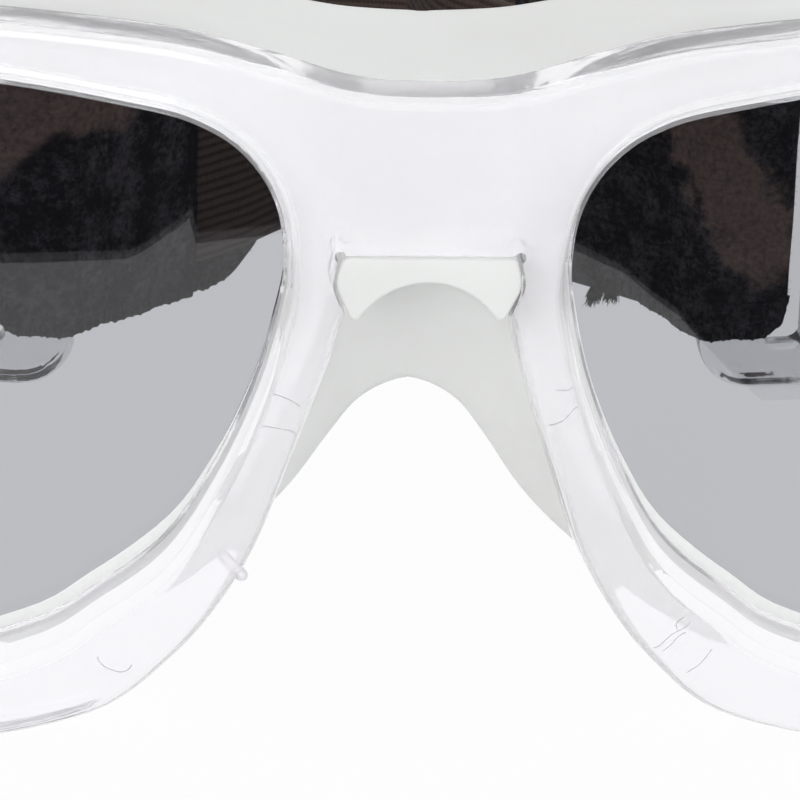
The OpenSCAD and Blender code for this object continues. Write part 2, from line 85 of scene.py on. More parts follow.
eyeMid = np.array([eyeForm["bridge"] / 2 + eyeForm["width"] / 2, sill + eyeForm["height"] * eyeForm["midShare"]])
bridgeBottom = sill + eyeForm["height"] * eyeForm["bridgeShare"]
notchLow = bridgeBottom - eyeForm["notchHeight"]
notchMiddle = bridgeBottom - eyeForm["notchHeight"] * eyeForm["bellyShare"]


def unit(v):
    return v / max(1e-9, np.linalg.norm(v))


# square to a direction, on its left
def leftOf(way):
    way = unit(way)
    return np.array([-way[1], way[0]])


def mix(a, b, t):
    return a + (b - a) * t


def smoothStep(x):
    t = min(1.0, max(0.0, x))
    return t * t * (3 - 2 * t)


def curvePoint(p0, p1, p2, p3, t):
    return (p1 + (p2 - p0) * t / 2 + (2 * p0 - 5 * p1 + 4 * p2 - p3) * t * t / 2
            + (3 * p1 - p0 - 3 * p2 + p3) * t ** 3 / 2)


def rowStation(k):
    r = eyeRows[k % rowCount]
    a = np.array([eyeForm["bridge"] / 2 + r[0] * eyeForm["width"], sill + r[1] * eyeForm["height"]])
    return np.array([a, a + eyeForm["rim"] * np.array(r[2:4]), a + np.array(r[4:6]), r[6:8]])


def beyondCentre(own, opposite):
    flip = np.array([-1.0, 1.0])
    return np.array([own[0], opposite[1] * flip, opposite[2] * flip, opposite[3]])


# stations round one eye, from the bridge's underside over the brow
def makeStations(rowSteps, bridgeSteps):
    made = []
    for k in range(rowCount):
        before, here, after, beyond = (rowStation(k + d) for d in (-1, 0, 1, 2))
        if k == 1:
            before = beyondCentre(before, after)
        if k == rowCount - 1:
            beyond = beyondCentre(beyond, here)
        for t in bridgeSteps if k == 0 else [n / rowSteps for n in range(rowSteps)]:
            s = curvePoint(before, here, after, beyond, t)
            centre = k == 0 or (k == 1 and t == 0)
            if k == 0:
                s[1] = mix(here[1], after[1], t)
                s[2] = mix(here[2], after[2], t)
            if centre:
                s[1][0] = s[2][0] = 0.0
            made.append({"a": s[0], "b": s[1], "c": s[2], "depth": s[3][0], "lip": s[3][1],
                         "centre": centre, "run": k == 0 and t > 0})
    for i, s in enumerate(made):
        ahead, behind = made[(i + 1) % len(made)], made[i - 1]
        s["inNormal"] = leftOf(ahead["a"] - behind["a"])
        if np.dot(s["inNormal"], s["a"] - eyeMid) < 0:
            s["inNormal"] = -s["inNormal"]
        if s["run"]:
            s["outNormal"] = s["inNormal"]
        elif s["centre"]:
            s["outNormal"] = np.array([0.0, -1.0 if i == 0 else 1.0])
        else:
            s["outNormal"] = leftOf(ahead["b"] - behind["b"])
            if np.dot(s["outNormal"], s["b"] - s["a"]) < 0:
                s["outNormal"] = -s["outNormal"]
    return made


def wrapPoint(p, h):
    turn = math.asin(p[0] / eyeForm["wrap"])
    reach = eyeForm["wrap"] - h
    return (reach * math.sin(turn), eyeForm["wrap"] - reach * math.cos(turn), max(0.0, p[1]))


def depthAt(x, h):
    return eyeForm["wrap"] - math.sqrt((eyeForm["wrap"] - h) ** 2 - x * x)


# mesh helpers
def linkObject(name, data):
    obj = bpy.data.objects.new(name, data)
    bpy.context.collection.objects.link(obj)
    return obj


# points are in mm, with y counted from the front surface
def addObject(name, points, faces, material, smooth=True):
    mesh = bpy.data.meshes.new(name)
    mesh.from_pydata([(p[0] * mm, (p[1] + rowShift) * mm, p[2] * mm) for p in points], [], faces)
    mesh.validate()
    mesh.materials.append(material)
    for poly in mesh.polygons:
        poly.use_smooth = smooth
    return linkObject(name, mesh)


def editMesh(obj, work):
    bm = bmesh.new()
    bm.from_mesh(obj.data)
    work(bm)
    bm.to_mesh(obj.data)
    bm.free()
    obj.data.update()


def cleanMesh(obj, near=0.002, recalc=True):
    def work(bm):
        bmesh.ops.remove_doubles(bm, verts=bm.verts, dist=near * mm)
        bmesh.ops.dissolve_degenerate(bm, edges=bm.edges, dist=1e-7)
        loose = [v for v in bm.verts if not v.link_faces]
        bmesh.ops.delete(bm, geom=loose, context="VERTS")
        if recalc:
            bmesh.ops.recalc_face_normals(bm, faces=bm.faces)
    editMesh(obj, work)


def applyModifiers(obj):
    graph = bpy.context.evaluated_depsgraph_get()
    mesh = bpy.data.meshes.new_from_object(obj.evaluated_get(graph))
    old = obj.data
    obj.modifiers.clear()
    obj.data = mesh
    mesh.name = obj.name
    bpy.data.meshes.remove(old)


def booleanWith(obj, tool, operation):
    cut = obj.modifiers.new("cut", "BOOLEAN")
    cut.operation = operation
    cut.solver = "MANIFOLD"
    cut.object = tool
    bpy.context.view_layer.update()
    applyModifiers(obj)
    bpy.data.objects.remove(tool, do_unlink=True)


def softEdges(obj, angle):
    for poly in obj.data.polygons:
        poly.use_smooth = True
    obj.data.set_sharp_from_angle(angle=math.radians(angle))


# quads between rings of points that are numbered one after the other
def loftFaces(rings, length, offset=0):
    faces = []
    for i in range(rings - 1):
        p, q = offset + i * length, offset + (i + 1) * length
        faces += [(p + j, q + j, q + (j + 1) % length, p + (j + 1) % length) for j in range(length)]
    return faces


# the first and the last ring's own faces
def capFaces(rings, length):
    return [tuple(range(length))[::-1], tuple((rings - 1) * length + k for k in range(length))]


# quads round a closed row of sections, without the wall where the two halves are joined
def sectionFaces(sections, joined, wallFrom, wallTo):
    count, n = len(sections), len(sections[0])
    return [(i * n + j, (i + 1) % count * n + j, (i + 1) % count * n + (j + 1) % n, i * n + (j + 1) % n)
            for i in range(count) for j in range(n) if i >= joined or not wallFrom <= j < wallTo]


# polygon points with rounded corners, from rows of x, y and corner radius
def roundedOutline(rows, steps=5):
    points = []
    for i, (x, y, r) in enumerate(rows):
        p = np.array([x, y])
        u = unit(np.array(rows[i - 1][:2]) - p)
        v = unit(np.array(rows[(i + 1) % len(rows)][:2]) - p)
        if r == 0:
            points.append(p)
            continue
        half = math.acos(max(-1, min(1, float(np.dot(u, v))))) / 2
        middle = p + unit(u + v) * r / math.sin(half)
        start = p + u * r / math.tan(half) - middle
        turn = (-1 if u[0] * v[1] - u[1] * v[0] > 0 else 1) * (math.pi - 2 * half)
        for k in range(steps + 1):
            g = turn * k / steps
            points.append(middle + np.array([start[0] * math.cos(g) - start[1] * math.sin(g),
                                             start[0] * math.sin(g) + start[1] * math.cos(g)]))
    return points


# the outline moved inwards by an amount, point by point; it runs anticlockwise
def insetOutline(points, amount):
    count = len(points)
    return [p + leftOf(points[(i + 1) % count] - points[i - 1]) * amount for i, p in enumerate(points)]


# inset and level from one face of a slab to the other, with a quarter round at both
def edgeProfile(low, high, radius, steps=3):
    turns = [math.pi / 2 * k / steps for k in range(steps + 1)]
    corner = [(radius * (1 - math.cos(g)), radius * (1 - math.sin(g))) for g in turns]
    return [(inset, low + depth) for inset, depth in corner[::-1]] + [(inset, high - depth) for inset, depth in corner]


# a plate standing in x and z with rounded edges, from y0 to y1
def slabFromOutline(name, outline, holes, y0, y1, radius, material):
    profile = edgeProfile(y0, y1, radius)
    points, faces, caps = [], [], []
    for loop, sign in [(outline, 1)] + [(hole, -1) for hole in holes]:
        first, n = len(points), len(loop)
        for inset, y in profile:
            points += [(p[0], y, p[1]) for p in insetOutline(loop, inset * sign)]
        faces += loftFaces(len(profile), n, first)
        caps.append((n, first, first + (len(profile) - 1) * n))
    obj = addObject(name, points, faces, material)

    def closeEnds(bm):
        bm.verts.ensure_lookup_table()
        for end in (1, 2):
            edges = [bm.edges.get((bm.verts[cap[end] + k], bm.verts[cap[end] + (k + 1) % cap[0]]))
                     for cap in caps for k in range(cap[0])]
            bmesh.ops.triangle_fill(bm, edges=edges, use_beauty=True)
        bmesh.ops.recalc_face_normals(bm, faces=bm.faces)
    editMesh(obj, closeEnds)
    return obj


# adds the mirrored half and joins the two on the plane x = 0
def mirrorHalf(obj):
    def work(bm):
        for v in bm.verts:
            if abs(v.co.x) < 2e-6:
                v.co.x = 0.0
        twin = bmesh.ops.duplicate(bm, geom=bm.verts[:] + bm.edges[:] + bm.faces[:])["geom"]
        for v in twin:
            if isinstance(v, bmesh.types.BMVert):
                v.co.x = -v.co.x
        bmesh.ops.reverse_faces(bm, faces=[f for f in twin if isinstance(f, bmesh.types.BMFace)])
        bmesh.ops.remove_doubles(bm, verts=[v for v in bm.verts if abs(v.co.x) < 1e-6], dist=2e-6)
        bmesh.ops.recalc_face_normals(bm, faces=bm.faces)
    editMesh(obj, work)


# one object from several, with the first one's materials first
def joinObjects(objects, name):
    first = objects[0]
    bm = bmesh.new()
    materials = []
    for obj in objects:
        start = len(bm.faces)
        bm.from_mesh(obj.data)
        bm.faces.ensure_lookup_table()
        for f in bm.faces[start:]:
            own = obj.data.materials[f.material_index]
            if own not in materials:
                materials.append(own)
            f.material_index = materials.index(own)
    mesh = bpy.data.meshes.new(name)
    bm.to_mesh(mesh)
    bm.free()
    for material in materials:
        mesh.materials.append(material)
    for obj in objects:
        bpy.data.objects.remove(obj, do_unlink=True)
    return linkObject(name, mesh)


def ringPoints(centre, u, v, radius, sides):
    turns = [2 * math.pi * k / sides for k in range(sides)]
    return [centre + (u * math.cos(g) + v * math.sin(g)) * radius for g in turns]


# a thin closed three-sided fibre
def spike(points, faces, base, tip, width):
    way = unit(tip - base)
    side = unit(np.cross(way, np.array([0.31, 0.17, 0.93])))  # a direction that no fibre takes
    first = len(points)
    points += ringPoints(base, side, np.cross(way, side), width, 3)
    points.append(tip)
    faces += [(first, first + 1, first + 3), (first + 1, first + 2, first + 3), (first + 2, first, first + 3),
              (first + 2, first + 1, first)]


def tube(points, faces, a, b, radius, sides=5):
    way = unit(b - a)
    helper = np.array([0, 0, 1.0]) if abs(way[2]) < 0.9 else np.array([1.0, 0, 0])
    u = unit(np.cross(way, helper))
    v = np.cross(way, u)
    first = len(points)
    points += ringPoints(a, u, v, radius, sides) + ringPoints(b, u, v, radius, sides)
    faces += [(first + k, first + (k + 1) % sides, first + sides + (k + 1) % sides, first + sides + k)
              for k in range(sides)]
    faces += [tuple(first + k for k in range(sides))[::-1], tuple(first + sides + k for k in range(sides))]


# materials
def startMaterial(name):
    material = bpy.data.materials.new(name)
    material.use_nodes = True
    return material, material.node_tree


def addNode(tree, kind, settings=None, **inputs):
    node = tree.nodes.new(kind)
    for key, value in (settings or {}).items():
        setattr(node, key, value)
    for key, value in inputs.items():
        socket = node.inputs[int(key[1:])] if key[0] == "i" and key[1:].isdigit() else node.inputs[key]
        if isinstance(value, bpy.types.NodeSocket):
            tree.links.new(value, socket)
        else:
            socket.default_value = value
    return node


def mathNode(tree, operation, *values):
    sockets = {f"i{k}": value for k, value in enumerate(values)}
    return addNode(tree, "ShaderNodeMath", {"operation": operation}, **sockets).outputs[0]


def objectPlace(tree):
    place = addNode(tree, "ShaderNodeTexCoord")
    return addNode(tree, "ShaderNodeMapping", i0=place.outputs["Object"]).outputs[0]


def noiseNode(tree, vector, scale, detail=3.0, rough=0.5, distortion=0.0):
    return addNode(tree, "ShaderNodeTexNoise", Vector=vector, Scale=scale, Detail=detail, Roughness=rough,
                   Distortion=distortion).outputs["Fac"]


def rampNode(tree, factor, stops):
    ramp = addNode(tree, "ShaderNodeValToRGB", Fac=factor)
    bar = ramp.color_ramp
    while len(bar.elements) < len(stops):
        bar.elements.new(0.5)
    for element, (at, colour) in zip(bar.elements, stops):
        element.position = at
        element.color = (*colour, 1.0)
    return ramp.outputs[0]


def bumpNode(tree, height, strength, distance, below=None):
    bump = addNode(tree, "ShaderNodeBump", Height=height, Strength=strength, Distance=distance)
    if below:
        tree.links.new(below, bump.inputs["Normal"])
    return bump.outputs[0]


# plain values go on the shader's own sockets, the colour and the bump are linked
def dressShader(tree, values, colour=None, bump=None):
    bsdf = tree.nodes["Principled BSDF"]
    for key, value in values.items():
        bsdf.inputs[key].default_value = value
    for key, socket in (("Base Color", colour), ("Normal", bump)):
        if socket:
            tree.links.new(socket, bsdf.inputs[key])
    return bsdf


def mixToSurface(tree, share, first, second):
    both = addNode(tree, "ShaderNodeMixShader", i0=share, i1=first.outputs[0], i2=second.outputs[0])
    tree.links.new(both.outputs[0], tree.nodes["Material Output"].inputs["Surface"])


# lamps shine through clear plastic, so what is behind it is lit
def letLampsThrough(tree, tint):
    ray = addNode(tree, "ShaderNodeLightPath")
    film = addNode(tree, "ShaderNodeBsdfTransparent", Color=(*tint, 1.0))
    mixToSurface(tree, ray.outputs["Is Shadow Ray"], tree.nodes["Principled BSDF"], film)


clearLook = {
    "clear": {"milk": 0.07, "low": (0.985, 0.982, 0.998), "high": (0.977, 0.97, 0.988)},
    "milky": {"milk": 0.42, "low": (0.955, 0.945, 0.975), "high": (0.935, 0.915, 0.945)},
    "smoky": {"milk": 0.05, "low": (0.86, 0.865, 0.875), "high": (0.82, 0.825, 0.84)},
    "shader": {"IOR": 1.52, "Roughness": 0.04}, "lampTint": (0.97, 0.97, 0.98),
    "flowScale": 90.0, "flowBump": (0.05, 0.004), "fineScale": 2600.0, "fineBump": (0.02, 0.0004),
}


# clear moulded plastic with faint flow marks; the front face is the milky kind
def makeClearMaterial(name, kind):
    look = clearLook[kind]
    material, tree = startMaterial(name)
    place = objectPlace(tree)
    flow = noiseNode(tree, place, clearLook["flowScale"], 2.0, 0.45, 0.6)
    fine = noiseNode(tree, place, clearLook["fineScale"], 2.0)
    colour = rampNode(tree, flow, [(0.3, look["low"]), (0.7, look["high"])])
    bump = bumpNode(tree, fine, *clearLook["fineBump"], bumpNode(tree, flow, *clearLook["flowBump"]))
    dressShader(tree, {**clearLook["shader"], "Transmission Weight": 1 - look["milk"]}, colour, bump)
    letLampsThrough(tree, clearLook["lampTint"])
    return material


lensLook = {
    "tint": [(0.25, (0.503, 0.508, 0.538)), (0.75, (0.489, 0.496, 0.524))], "lampTint": (0.55, 0.56, 0.58),
    "shader": {"Transmission Weight": 1.0, "IOR": 1.52, "Roughness": 0.012}, "cloudScale": 45.0, "bump": (0.01, 0.002),
}


# grey tinted lens with a very faint mottle
def makeLensMaterial():
    look = lensLook
    material, tree = startMaterial("greyLens")
    cloud = noiseNode(tree, objectPlace(tree), look["cloudScale"], 2.0, 0.5)
    dressShader(tree, look["shader"], rampNode(tree, cloud, look["tint"]), bumpNode(tree, cloud, *look["bump"]))
    letLampsThrough(tree, look["lampTint"])
    return material


siliconeLook = {
    "colours": [(0.3, (0.83, 0.84, 0.825)), (0.72, (0.79, 0.795, 0.775))], "cloudScale": 60.0,
    "skinScale": 5200.0, "bump": (0.12, 0.00012),
    "shader": {"Roughness": 0.42, "IOR": 1.41, "Subsurface Weight": 0.35, "Subsurface Radius": (1.0, 0.95, 0.85),
               "Subsurface Scale": 0.0016},
}


# off-white translucent silicone with a fine matt skin
def makeSiliconeMaterial():
    look = siliconeLook
    material, tree = startMaterial("offWhiteSilicone")
    place = objectPlace(tree)
    cloud = noiseNode(tree, place, look["cloudScale"], 3.0, 0.5)
    skin = noiseNode(tree, place, look["skinScale"], 3.0, 0.6)
    dressShader(tree, look["shader"], rampNode(tree, cloud, look["colours"]), bumpNode(tree, skin, *look["bump"]))
    return material


# the brown is a painted sheen, laid on in bands
velourLook = {
    "pile": [(0.20, (0.027, 0.0255, 0.0295)), (0.36, (0.108, 0.099, 0.105))], "paintedSheenBrown": (0.292, 0.211, 0.178),
    "tuftScale": 2300.0, "mottleScale": 330.0, "rowPitch": 0.62, "rowLift": 0.10, "bump": (1.0, 0.0006),
    "jitter": (0.004, -0.002), "grain": {"i1": 0.25, "i2": 0.7, "i3": 0.35, "i4": 1.0},
    "shader": {"Roughness": 0.95, "Specular IOR Level": 0.06, "Sheen Weight": 0.012, "Sheen Roughness": 0.45,
               "Sheen Tint": (0.35, 0.30, 0.29, 1.0)},
}


# one between two levels of a value, falling to nought over a soft margin
def spanMask(tree, value, low, high, soft):
    rise, fall = (addNode(tree, "ShaderNodeMapRange", {"interpolation_type": "SMOOTHSTEP"}, i0=value, i1=start,
                          i2=end).outputs[0] for start, end in ((low - soft, low), (high, high + soft)))
    return mathNode(tree, "MULTIPLY", rise, mathNode(tree, "SUBTRACT", 1.0, fall))


# black brushed fabric: short tangled pile on fine knit rows, with a painted brown sheen in set bands where light
# catches the pile
def makeVelourMaterial(name, sheenBands, seed):
    look = velourLook
    material, tree = startMaterial(name)
    place = objectPlace(tree)
    tuft = noiseNode(tree, place, look["tuftScale"] + seed, 5.0, 0.7, 0.6)
    mottle = noiseNode(tree, place, look["mottleScale"] + seed, 4.0, 0.6)
    axes = addNode(tree, "ShaderNodeSeparateXYZ", i0=place).outputs
    colour = rampNode(tree, mathNode(tree, "MULTIPLY", tuft, mottle), look["pile"])
    jitter = mathNode(tree, "MULTIPLY_ADD", mottle, *look["jitter"])
    x, z = (mathNode(tree, "ADD", axes[k], jitter) for k in (0, 2))
    amount = None
    # painted sheen: bands fixed on the fabric that turn the pile brown
    for slope, low, high, soft, zLow, zHigh in sheenBands:
        across = spanMask(tree, mathNode(tree, "MULTIPLY_ADD", z, slope, x), low, high, soft)
        mask = mathNode(tree, "MULTIPLY", across, spanMask(tree, z, zLow, zHigh, soft))
        amount = mathNode(tree, "MAXIMUM", amount, mask) if amount else mask
    grain = addNode(tree, "ShaderNodeMapRange", i0=tuft, **look["grain"]).outputs[0]
    # the painted brown sheen mixed into the pile colour
    paintedSheenColour = addNode(tree, "ShaderNodeMix", {"data_type": "RGBA"}, i0=mathNode(tree, "MULTIPLY", amount, grain),
                   i6=colour, i7=(*look["paintedSheenBrown"], 1.0)).outputs[2]
    rows = mathNode(tree, "SINE", mathNode(tree, "MULTIPLY", axes[2], 2 * math.pi / (look["rowPitch"] * mm)))
    lift = mathNode(tree, "MULTIPLY_ADD", rows, look["rowLift"], tuft)
    dressShader(tree, look["shader"], paintedSheenColour, bumpNode(tree, lift, *look["bump"]))
    return material


elasticLook = {
    "rib": 0.70, "yarn": 0.36, "colours": [(0.0, (0.044, 0.033, 0.029)), (1.0, (0.082, 0.060, 0.052))],
    "yarnLift": 0.35, "fuzzScale": 1800.0, "fuzzLift": 1.6, "bump": (0.45, 0.0001),
    "shader": {"Roughness": 0.85, "Specular IOR Level": 0.08, "Sheen Weight": 0.01},
}


# woven elastic: rows of yarn along the strap with fine cross ribs
def makeElasticMaterial():
    look = elasticLook
    material, tree = startMaterial("blackElastic")
    uv = addNode(tree, "ShaderNodeUVMap", {"uv_map": "strap"})
    axes = addNode(tree, "ShaderNodeSeparateXYZ", i0=uv.outputs[0]).outputs
    rows, yarns = (mathNode(tree, "SINE", mathNode(tree, "MULTIPLY", axes[k], 2 * math.pi / pitch))
                   for k, pitch in ((1, look["rib"]), (0, look["yarn"])))
    weave = mathNode(tree, "MULTIPLY_ADD", yarns, look["yarnLift"], rows)
    fuzz = noiseNode(tree, objectPlace(tree), look["fuzzScale"], 3.0, 0.6)
    lift = mathNode(tree, "MULTIPLY_ADD", fuzz, look["fuzzLift"], weave)
    dressShader(tree, look["shader"], rampNode(tree, lift, look["colours"]), bumpNode(tree, lift, *look["bump"]))
    return material


def makePlainMaterial(name, low, high, scale, roughness, metal=0.0, bump=(0.1, 0.0001)):
    material, tree = startMaterial(name)
    grain = noiseNode(tree, objectPlace(tree), scale, 3.0, 0.55)
    dressShader(tree, {"Metallic": metal, "Roughness": roughness}, rampNode(tree, grain, [(0.3, low), (0.7, high)]),
                bumpNode(tree, grain, *bump))
    return material


clearPlastic = makeClearMaterial("clearPlastic", "clear")
milkyPlastic = makeClearMaterial("milkyPlastic", "milky")
templePlastic = makeClearMaterial("templePlastic", "smoky")
greyLens = makeLensMaterial()
silicone = makeSiliconeMaterial()
# painted sheen bands, each row: slope of x against z, its span, soft margin, span of z, all in metres
velours = {
    -1: makeVelourMaterial("paintedSheenVelourLeft", [(0.0, -0.0310, -0.0190, 0.0012, 0.0378, 0.06),
                                                (-1.176, -0.1200, -0.0692, 0.0015, 0.0340, 0.06)], 0),
    1: makeVelourMaterial("paintedSheenVelourRight", [(0.646, 0.0437, 0.0484, 0.0014, 0.0275, 0.06)], 40),
}
blackElastic = makeElasticMaterial()
stitchThread = makePlainMaterial("overlockThread", (0.012, 0.012, 0.013), (0.03, 0.03, 0.032), 3000.0, 0.8)
hookTape = makePlainMaterial("hookTape", (0.010, 0.010, 0.011), (0.035, 0.035, 0.038), 1400.0, 0.6, 0.0, (0.8, 0.0006))
screwSteel = makePlainMaterial("turnedSteel", (0.55, 0.56, 0.58), (0.68, 0.69, 0.71), 900.0, 0.28, 1.0)
insertBrass = makePlainMaterial("plainBrass", (0.62, 0.48, 0.22), (0.74, 0.60, 0.32), 700.0, 0.32, 1.0)
whiteNylon = makePlainMaterial("whiteNylon", (0.80, 0.80, 0.79), (0.87, 0.87, 0.86), 500.0, 0.5)
# painted light: cream for the lens's lower edge, standing in for its lit edge and the liner seen through the lens
paintedEdgeLight = makePlainMaterial("paintedEdgeLight", (0.86, 0.87, 0.855), (0.90, 0.91, 0.895), 1800.0, 0.6)
markGrey = makePlainMaterial("mouldMark", (0.56, 0.56, 0.58), (0.76, 0.76, 0.78), 1500.0, 0.35)
print("materials made")

# clear front
frontForm = {
    "lipFront": 1.35, "grooveFront": 1.7, "grooveRear": 3.9, "grooveDepth": 0.35, "rearLip": 0.25,
    "bevelSide": 1.1, "bevelBrow": 0.7, "bevelSill": 2.3, "frontRound": 0.9, "rearRound": 0.45, "rowSteps": 7,
    "bridgeSteps": [0, 0.04, 0.08, 0.16, 0.3, 0.5, 0.7, 0.84, 0.92, 0.96], "land": 0.3, "backLand": 1.3,
    "bevelCurve": [(0.10, 0.93), (0.34, 0.86), (0.40, 0.72), (0.62, 0.42), (0.66, 0.27), (0.90, 0.07)],
    "lipEase": (0.02, 0.12), "faceEase": 0.015, "rearEase": [(0.25, 0.0), (0.07, 0.07), (0.0, 0.2)],
    "notchCorner": 0.3, "notchReach": 3, "notchRound": 0.22,
    "milkyFace": (9, 16), "outerWall": (14, 25),  # point numbers in a section
}
quarters = (0.25, 0.5, 0.75)
frontCentre = (rowStation(0)[1][1], rowStation(1)[1][1])


# points round the rim's section at one station, from the lens lip over the front
def frontSection(s):
    form = frontForm
    thick = eyeForm["thick"]
    a, n, b, m = s["a"], s["inNormal"], s["b"], s["outNormal"]
    bevel = form["bevelSide"] + form["bevelBrow"] * max(0.0, n[1]) ** 2 + form["bevelSill"] * max(0.0, -n[1]) ** 1.5
    easeIn, easeUp = form["lipEase"]
    inner = [(0.0, form["grooveFront"]), (0.0, form["lipFront"] + easeUp), (easeIn, form["lipFront"])]
    inner += [(bevel * t, form["lipFront"] * h) for t, h in form["bevelCurve"]]
    inner += [(bevel, form["faceEase"]), (bevel + form["land"], 0.0)]
    points = [wrapPoint(a + n * d, h) for d, h in inner]
    start = a + n * (bevel + form["land"])
    front, rear = form["frontRound"], form["rearRound"]
    if s["run"]:
        low, high = frontCentre
        share = (b[1] - low) / (high - low)
        end, rearEnd = (np.array([0.0, mix(low + r, high - r, share)]) for r in (front, rear))
        outer = [wrapPoint(end, 0.0)] * 6 + [wrapPoint(rearEnd, thick)] * 6
    else:
        end, rearEnd = b - m * front, b - m * rear
        turns = [math.pi / 2 * k / 5 for k in range(6)]
        outer = [wrapPoint(b - m * front * (1 - math.sin(g)), front * (1 - math.cos(g))) for g in turns]
        outer += [wrapPoint(b - m * rear * (1 - math.cos(g)), thick - rear * (1 - math.sin(g))) for g in turns]
    back = a + n * form["backLand"]
    points += [wrapPoint(mix(start, end, t), 0.0) for t in quarters] + outer
    points += [wrapPoint(mix(back, rearEnd, t), thick) for t in quarters[::-1]]
    lip, groove = form["rearLip"], form["grooveDepth"]
    rearSide = [(form["backLand"], thick)] + [(lip + d, thick - h) for d, h in form["rearEase"]]
    rearSide += [(lip, form["grooveRear"]), (groove, form["grooveRear"]), (groove, form["grooveFront"])]
    return points + [wrapPoint(a + n * d, h) for d, h in rearSide]


# one side of the notch or its tab, from the waist up to the bridge, as outline rows
def keyedSide(side, gap, corner):
    half = eyeForm["notchWidth"] / 2 - gap
    (belly, bellyRound), (shoulder, shoulderRound) = eyeForm["notchBelly"], eyeForm["notchShoulder"]
    return [(side * (half - eyeForm["notchWaist"]), notchLow + gap, corner),
            (side * (half + belly), notchMiddle, bellyRound),
            (side * (half - shoulder), bridgeBottom - gap, shoulderRound)]


def notchOutline(gap):
    left, right = (keyedSide(side, gap, frontForm["notchCorner"]) for side in (-1, 1))
    foot = [(row[0], notchLow - frontForm["notchReach"], 0) for row in (left[0], right[0])]
    return roundedOutline(left[::-1] + foot + right)


cutterReach = {"front": 1.2, "rear": 1.4, "step": 0.15}  # how far a cutter stands out of the front's faces


# a cutter through the front that widens at both faces, so the cut has rounded edges
def flaredCutter(name, outlineAt, rounding):
    thick = eyeForm["thick"]
    turns = [math.pi / 2 * k / 4 for k in range(5)]
    levels = [(-cutterReach["front"], rounding)]
    levels += [(rounding * (1 - math.cos(g)), rounding * (1 - math.sin(g))) for g in turns]
    levels += [(thick + cutterReach["step"] - y, flare) for y, flare in levels[::-1][:-1]]
    levels += [(thick + cutterReach["rear"], rounding)]
    rings = [outlineAt(flare) for _, flare in levels]
    n = len(rings[0])
    points = [(p[0], y, p[1]) for (y, _), ring in zip(levels, rings) for p in ring]
    caps = [cap[::-1] for cap in capFaces(len(rings), n)]
    tool = addObject(name, points, loftFaces(len(rings), n) + caps, clearPlastic)
    cleanMesh(tool)
    return tool


hinge = {
    "x": 65.417, "y": 29.921, "z": 34.624, "knuckleRadius": 3.1, "knuckleHeight": 7.0, "earHeight": 3.6,
    "washer": 0.4, "screw": 0.95, "play": 0.05, "sink": 1.6,
}
earBottoms = [hinge["z"] - hinge["knuckleHeight"] / 2 - hinge["washer"] - hinge["earHeight"],
              hinge["z"] + hinge["knuckleHeight"] / 2 + hinge["washer"]]


def circlePoints(x, y, radius, sides):
    turns = [2 * math.pi * k / sides for k in range(sides)]
    return [np.array([x + radius * math.cos(g), y + radius * math.sin(g)]) for g in turns]


# a prism along z with rounded rims, or with sharp ones for a cutter
def pillar(name, outline, z0, z1, radius, material):
    profile = edgeProfile(z0, z1, radius) if radius else [(0, z0), (0, z1)]
    points = [(p[0], p[1], z) for inset, z in profile for p in insetOutline(outline, inset)]
    rings, n = len(profile), len(outline)
    obj = addObject(name, points, loftFaces(rings, n) + capFaces(rings, n), material)
    cleanMesh(obj)
    return obj


# plan of an ear: round at the pin, straight sides running into the front
def earOutline():
    x, y, r = hinge["x"], hinge["y"], hinge["knuckleRadius"]
    turns = [math.pi * k / 16 for k in range(17)]
    arc = [np.array([x + r * math.cos(g), y + r * math.sin(g)]) for g in turns]
    reach = eyeForm["wrap"] - hinge["sink"]
    across = [x - r + 2 * r * k / 8 for k in range(9)]
    return arc + [np.array([at, eyeForm["wrap"] - math.sqrt(reach ** 2 - at * at)]) for at in across]


flowForm = {
    "radius": 0.035, "steps": 5, "waver": 0.015,
    "lines": [
        [(-10.3, 28.2), (-9.7, 28.0), (-9.2, 27.8), (-8.8, 27.6), (-8.4, 27.2)],
        [(-10.9, 25.8), (-10.1, 25.7), (-9.5, 25.6), (-8.9, 25.5), (-8.6, 25.2)],
        [(8.9, 28.6), (9.5, 28.55), (9.8, 28.55), (10.0, 28.7), (10.2, 28.8)],
        [(8.6, 26.0), (9.0, 26.1), (9.5, 26.3), (9.9, 26.7), (10.2, 27.1), (10.4, 27.25), (10.6, 27.2)],
        [(16.8, 9.0), (17.2, 9.1), (17.8, 9.7), (18.2, 10.0), (19.0, 10.4), (19.3, 10.7)],
        [(17.5, 8.7), (18.0, 9.1), (18.4, 9.6), (18.8, 9.9), (19.1, 10.0)],
        [(18.4, 10.3), (18.3, 10.7), (18.6, 11.0), (18.9, 11.2)],
        [(19.3, 6.9), (19.8, 7.2), (20.2, 7.5), (20.6, 8.0), (21.1, 8.7)],
        [(-21.7, 7.9), (-21.6, 7.6), (-21.2, 7.2), (-20.7, 7.0), (-20.1, 6.9), (-19.6, 7.1), (-19.3, 7.6)],
    ],
}


# hairline weld marks in the moulded front, where the plastic met itself
def makeFlowLines():
    dice = random.Random(11)
    points, faces = [], []
    steps = flowForm["steps"]
    for line in flowForm["lines"]:
        spots = [np.array(p) for p in line]
        spots = [2 * spots[0] - spots[1]] + spots + [2 * spots[-1] - spots[-2]]
        way = []
        for i in range(1, len(spots) - 2):
            for k in range(steps):
                waver = np.array([dice.uniform(-1, 1), dice.uniform(-1, 1)]) * flowForm["waver"]
                way.append(np.array(wrapPoint(curvePoint(*spots[i - 1:i + 3], k / steps) + waver, 0.0)))
        for a, b in zip(way, way[1:]):
            tube(points, faces, a, b, flowForm["radius"], 4)
    return addObject("flowLines", points, faces, markGrey)


nubForm = {"from": (-13.25, 15.7), "to": (-12.1, 14.2), "depth": 1.25, "radius": 0.46, "sides": 14}


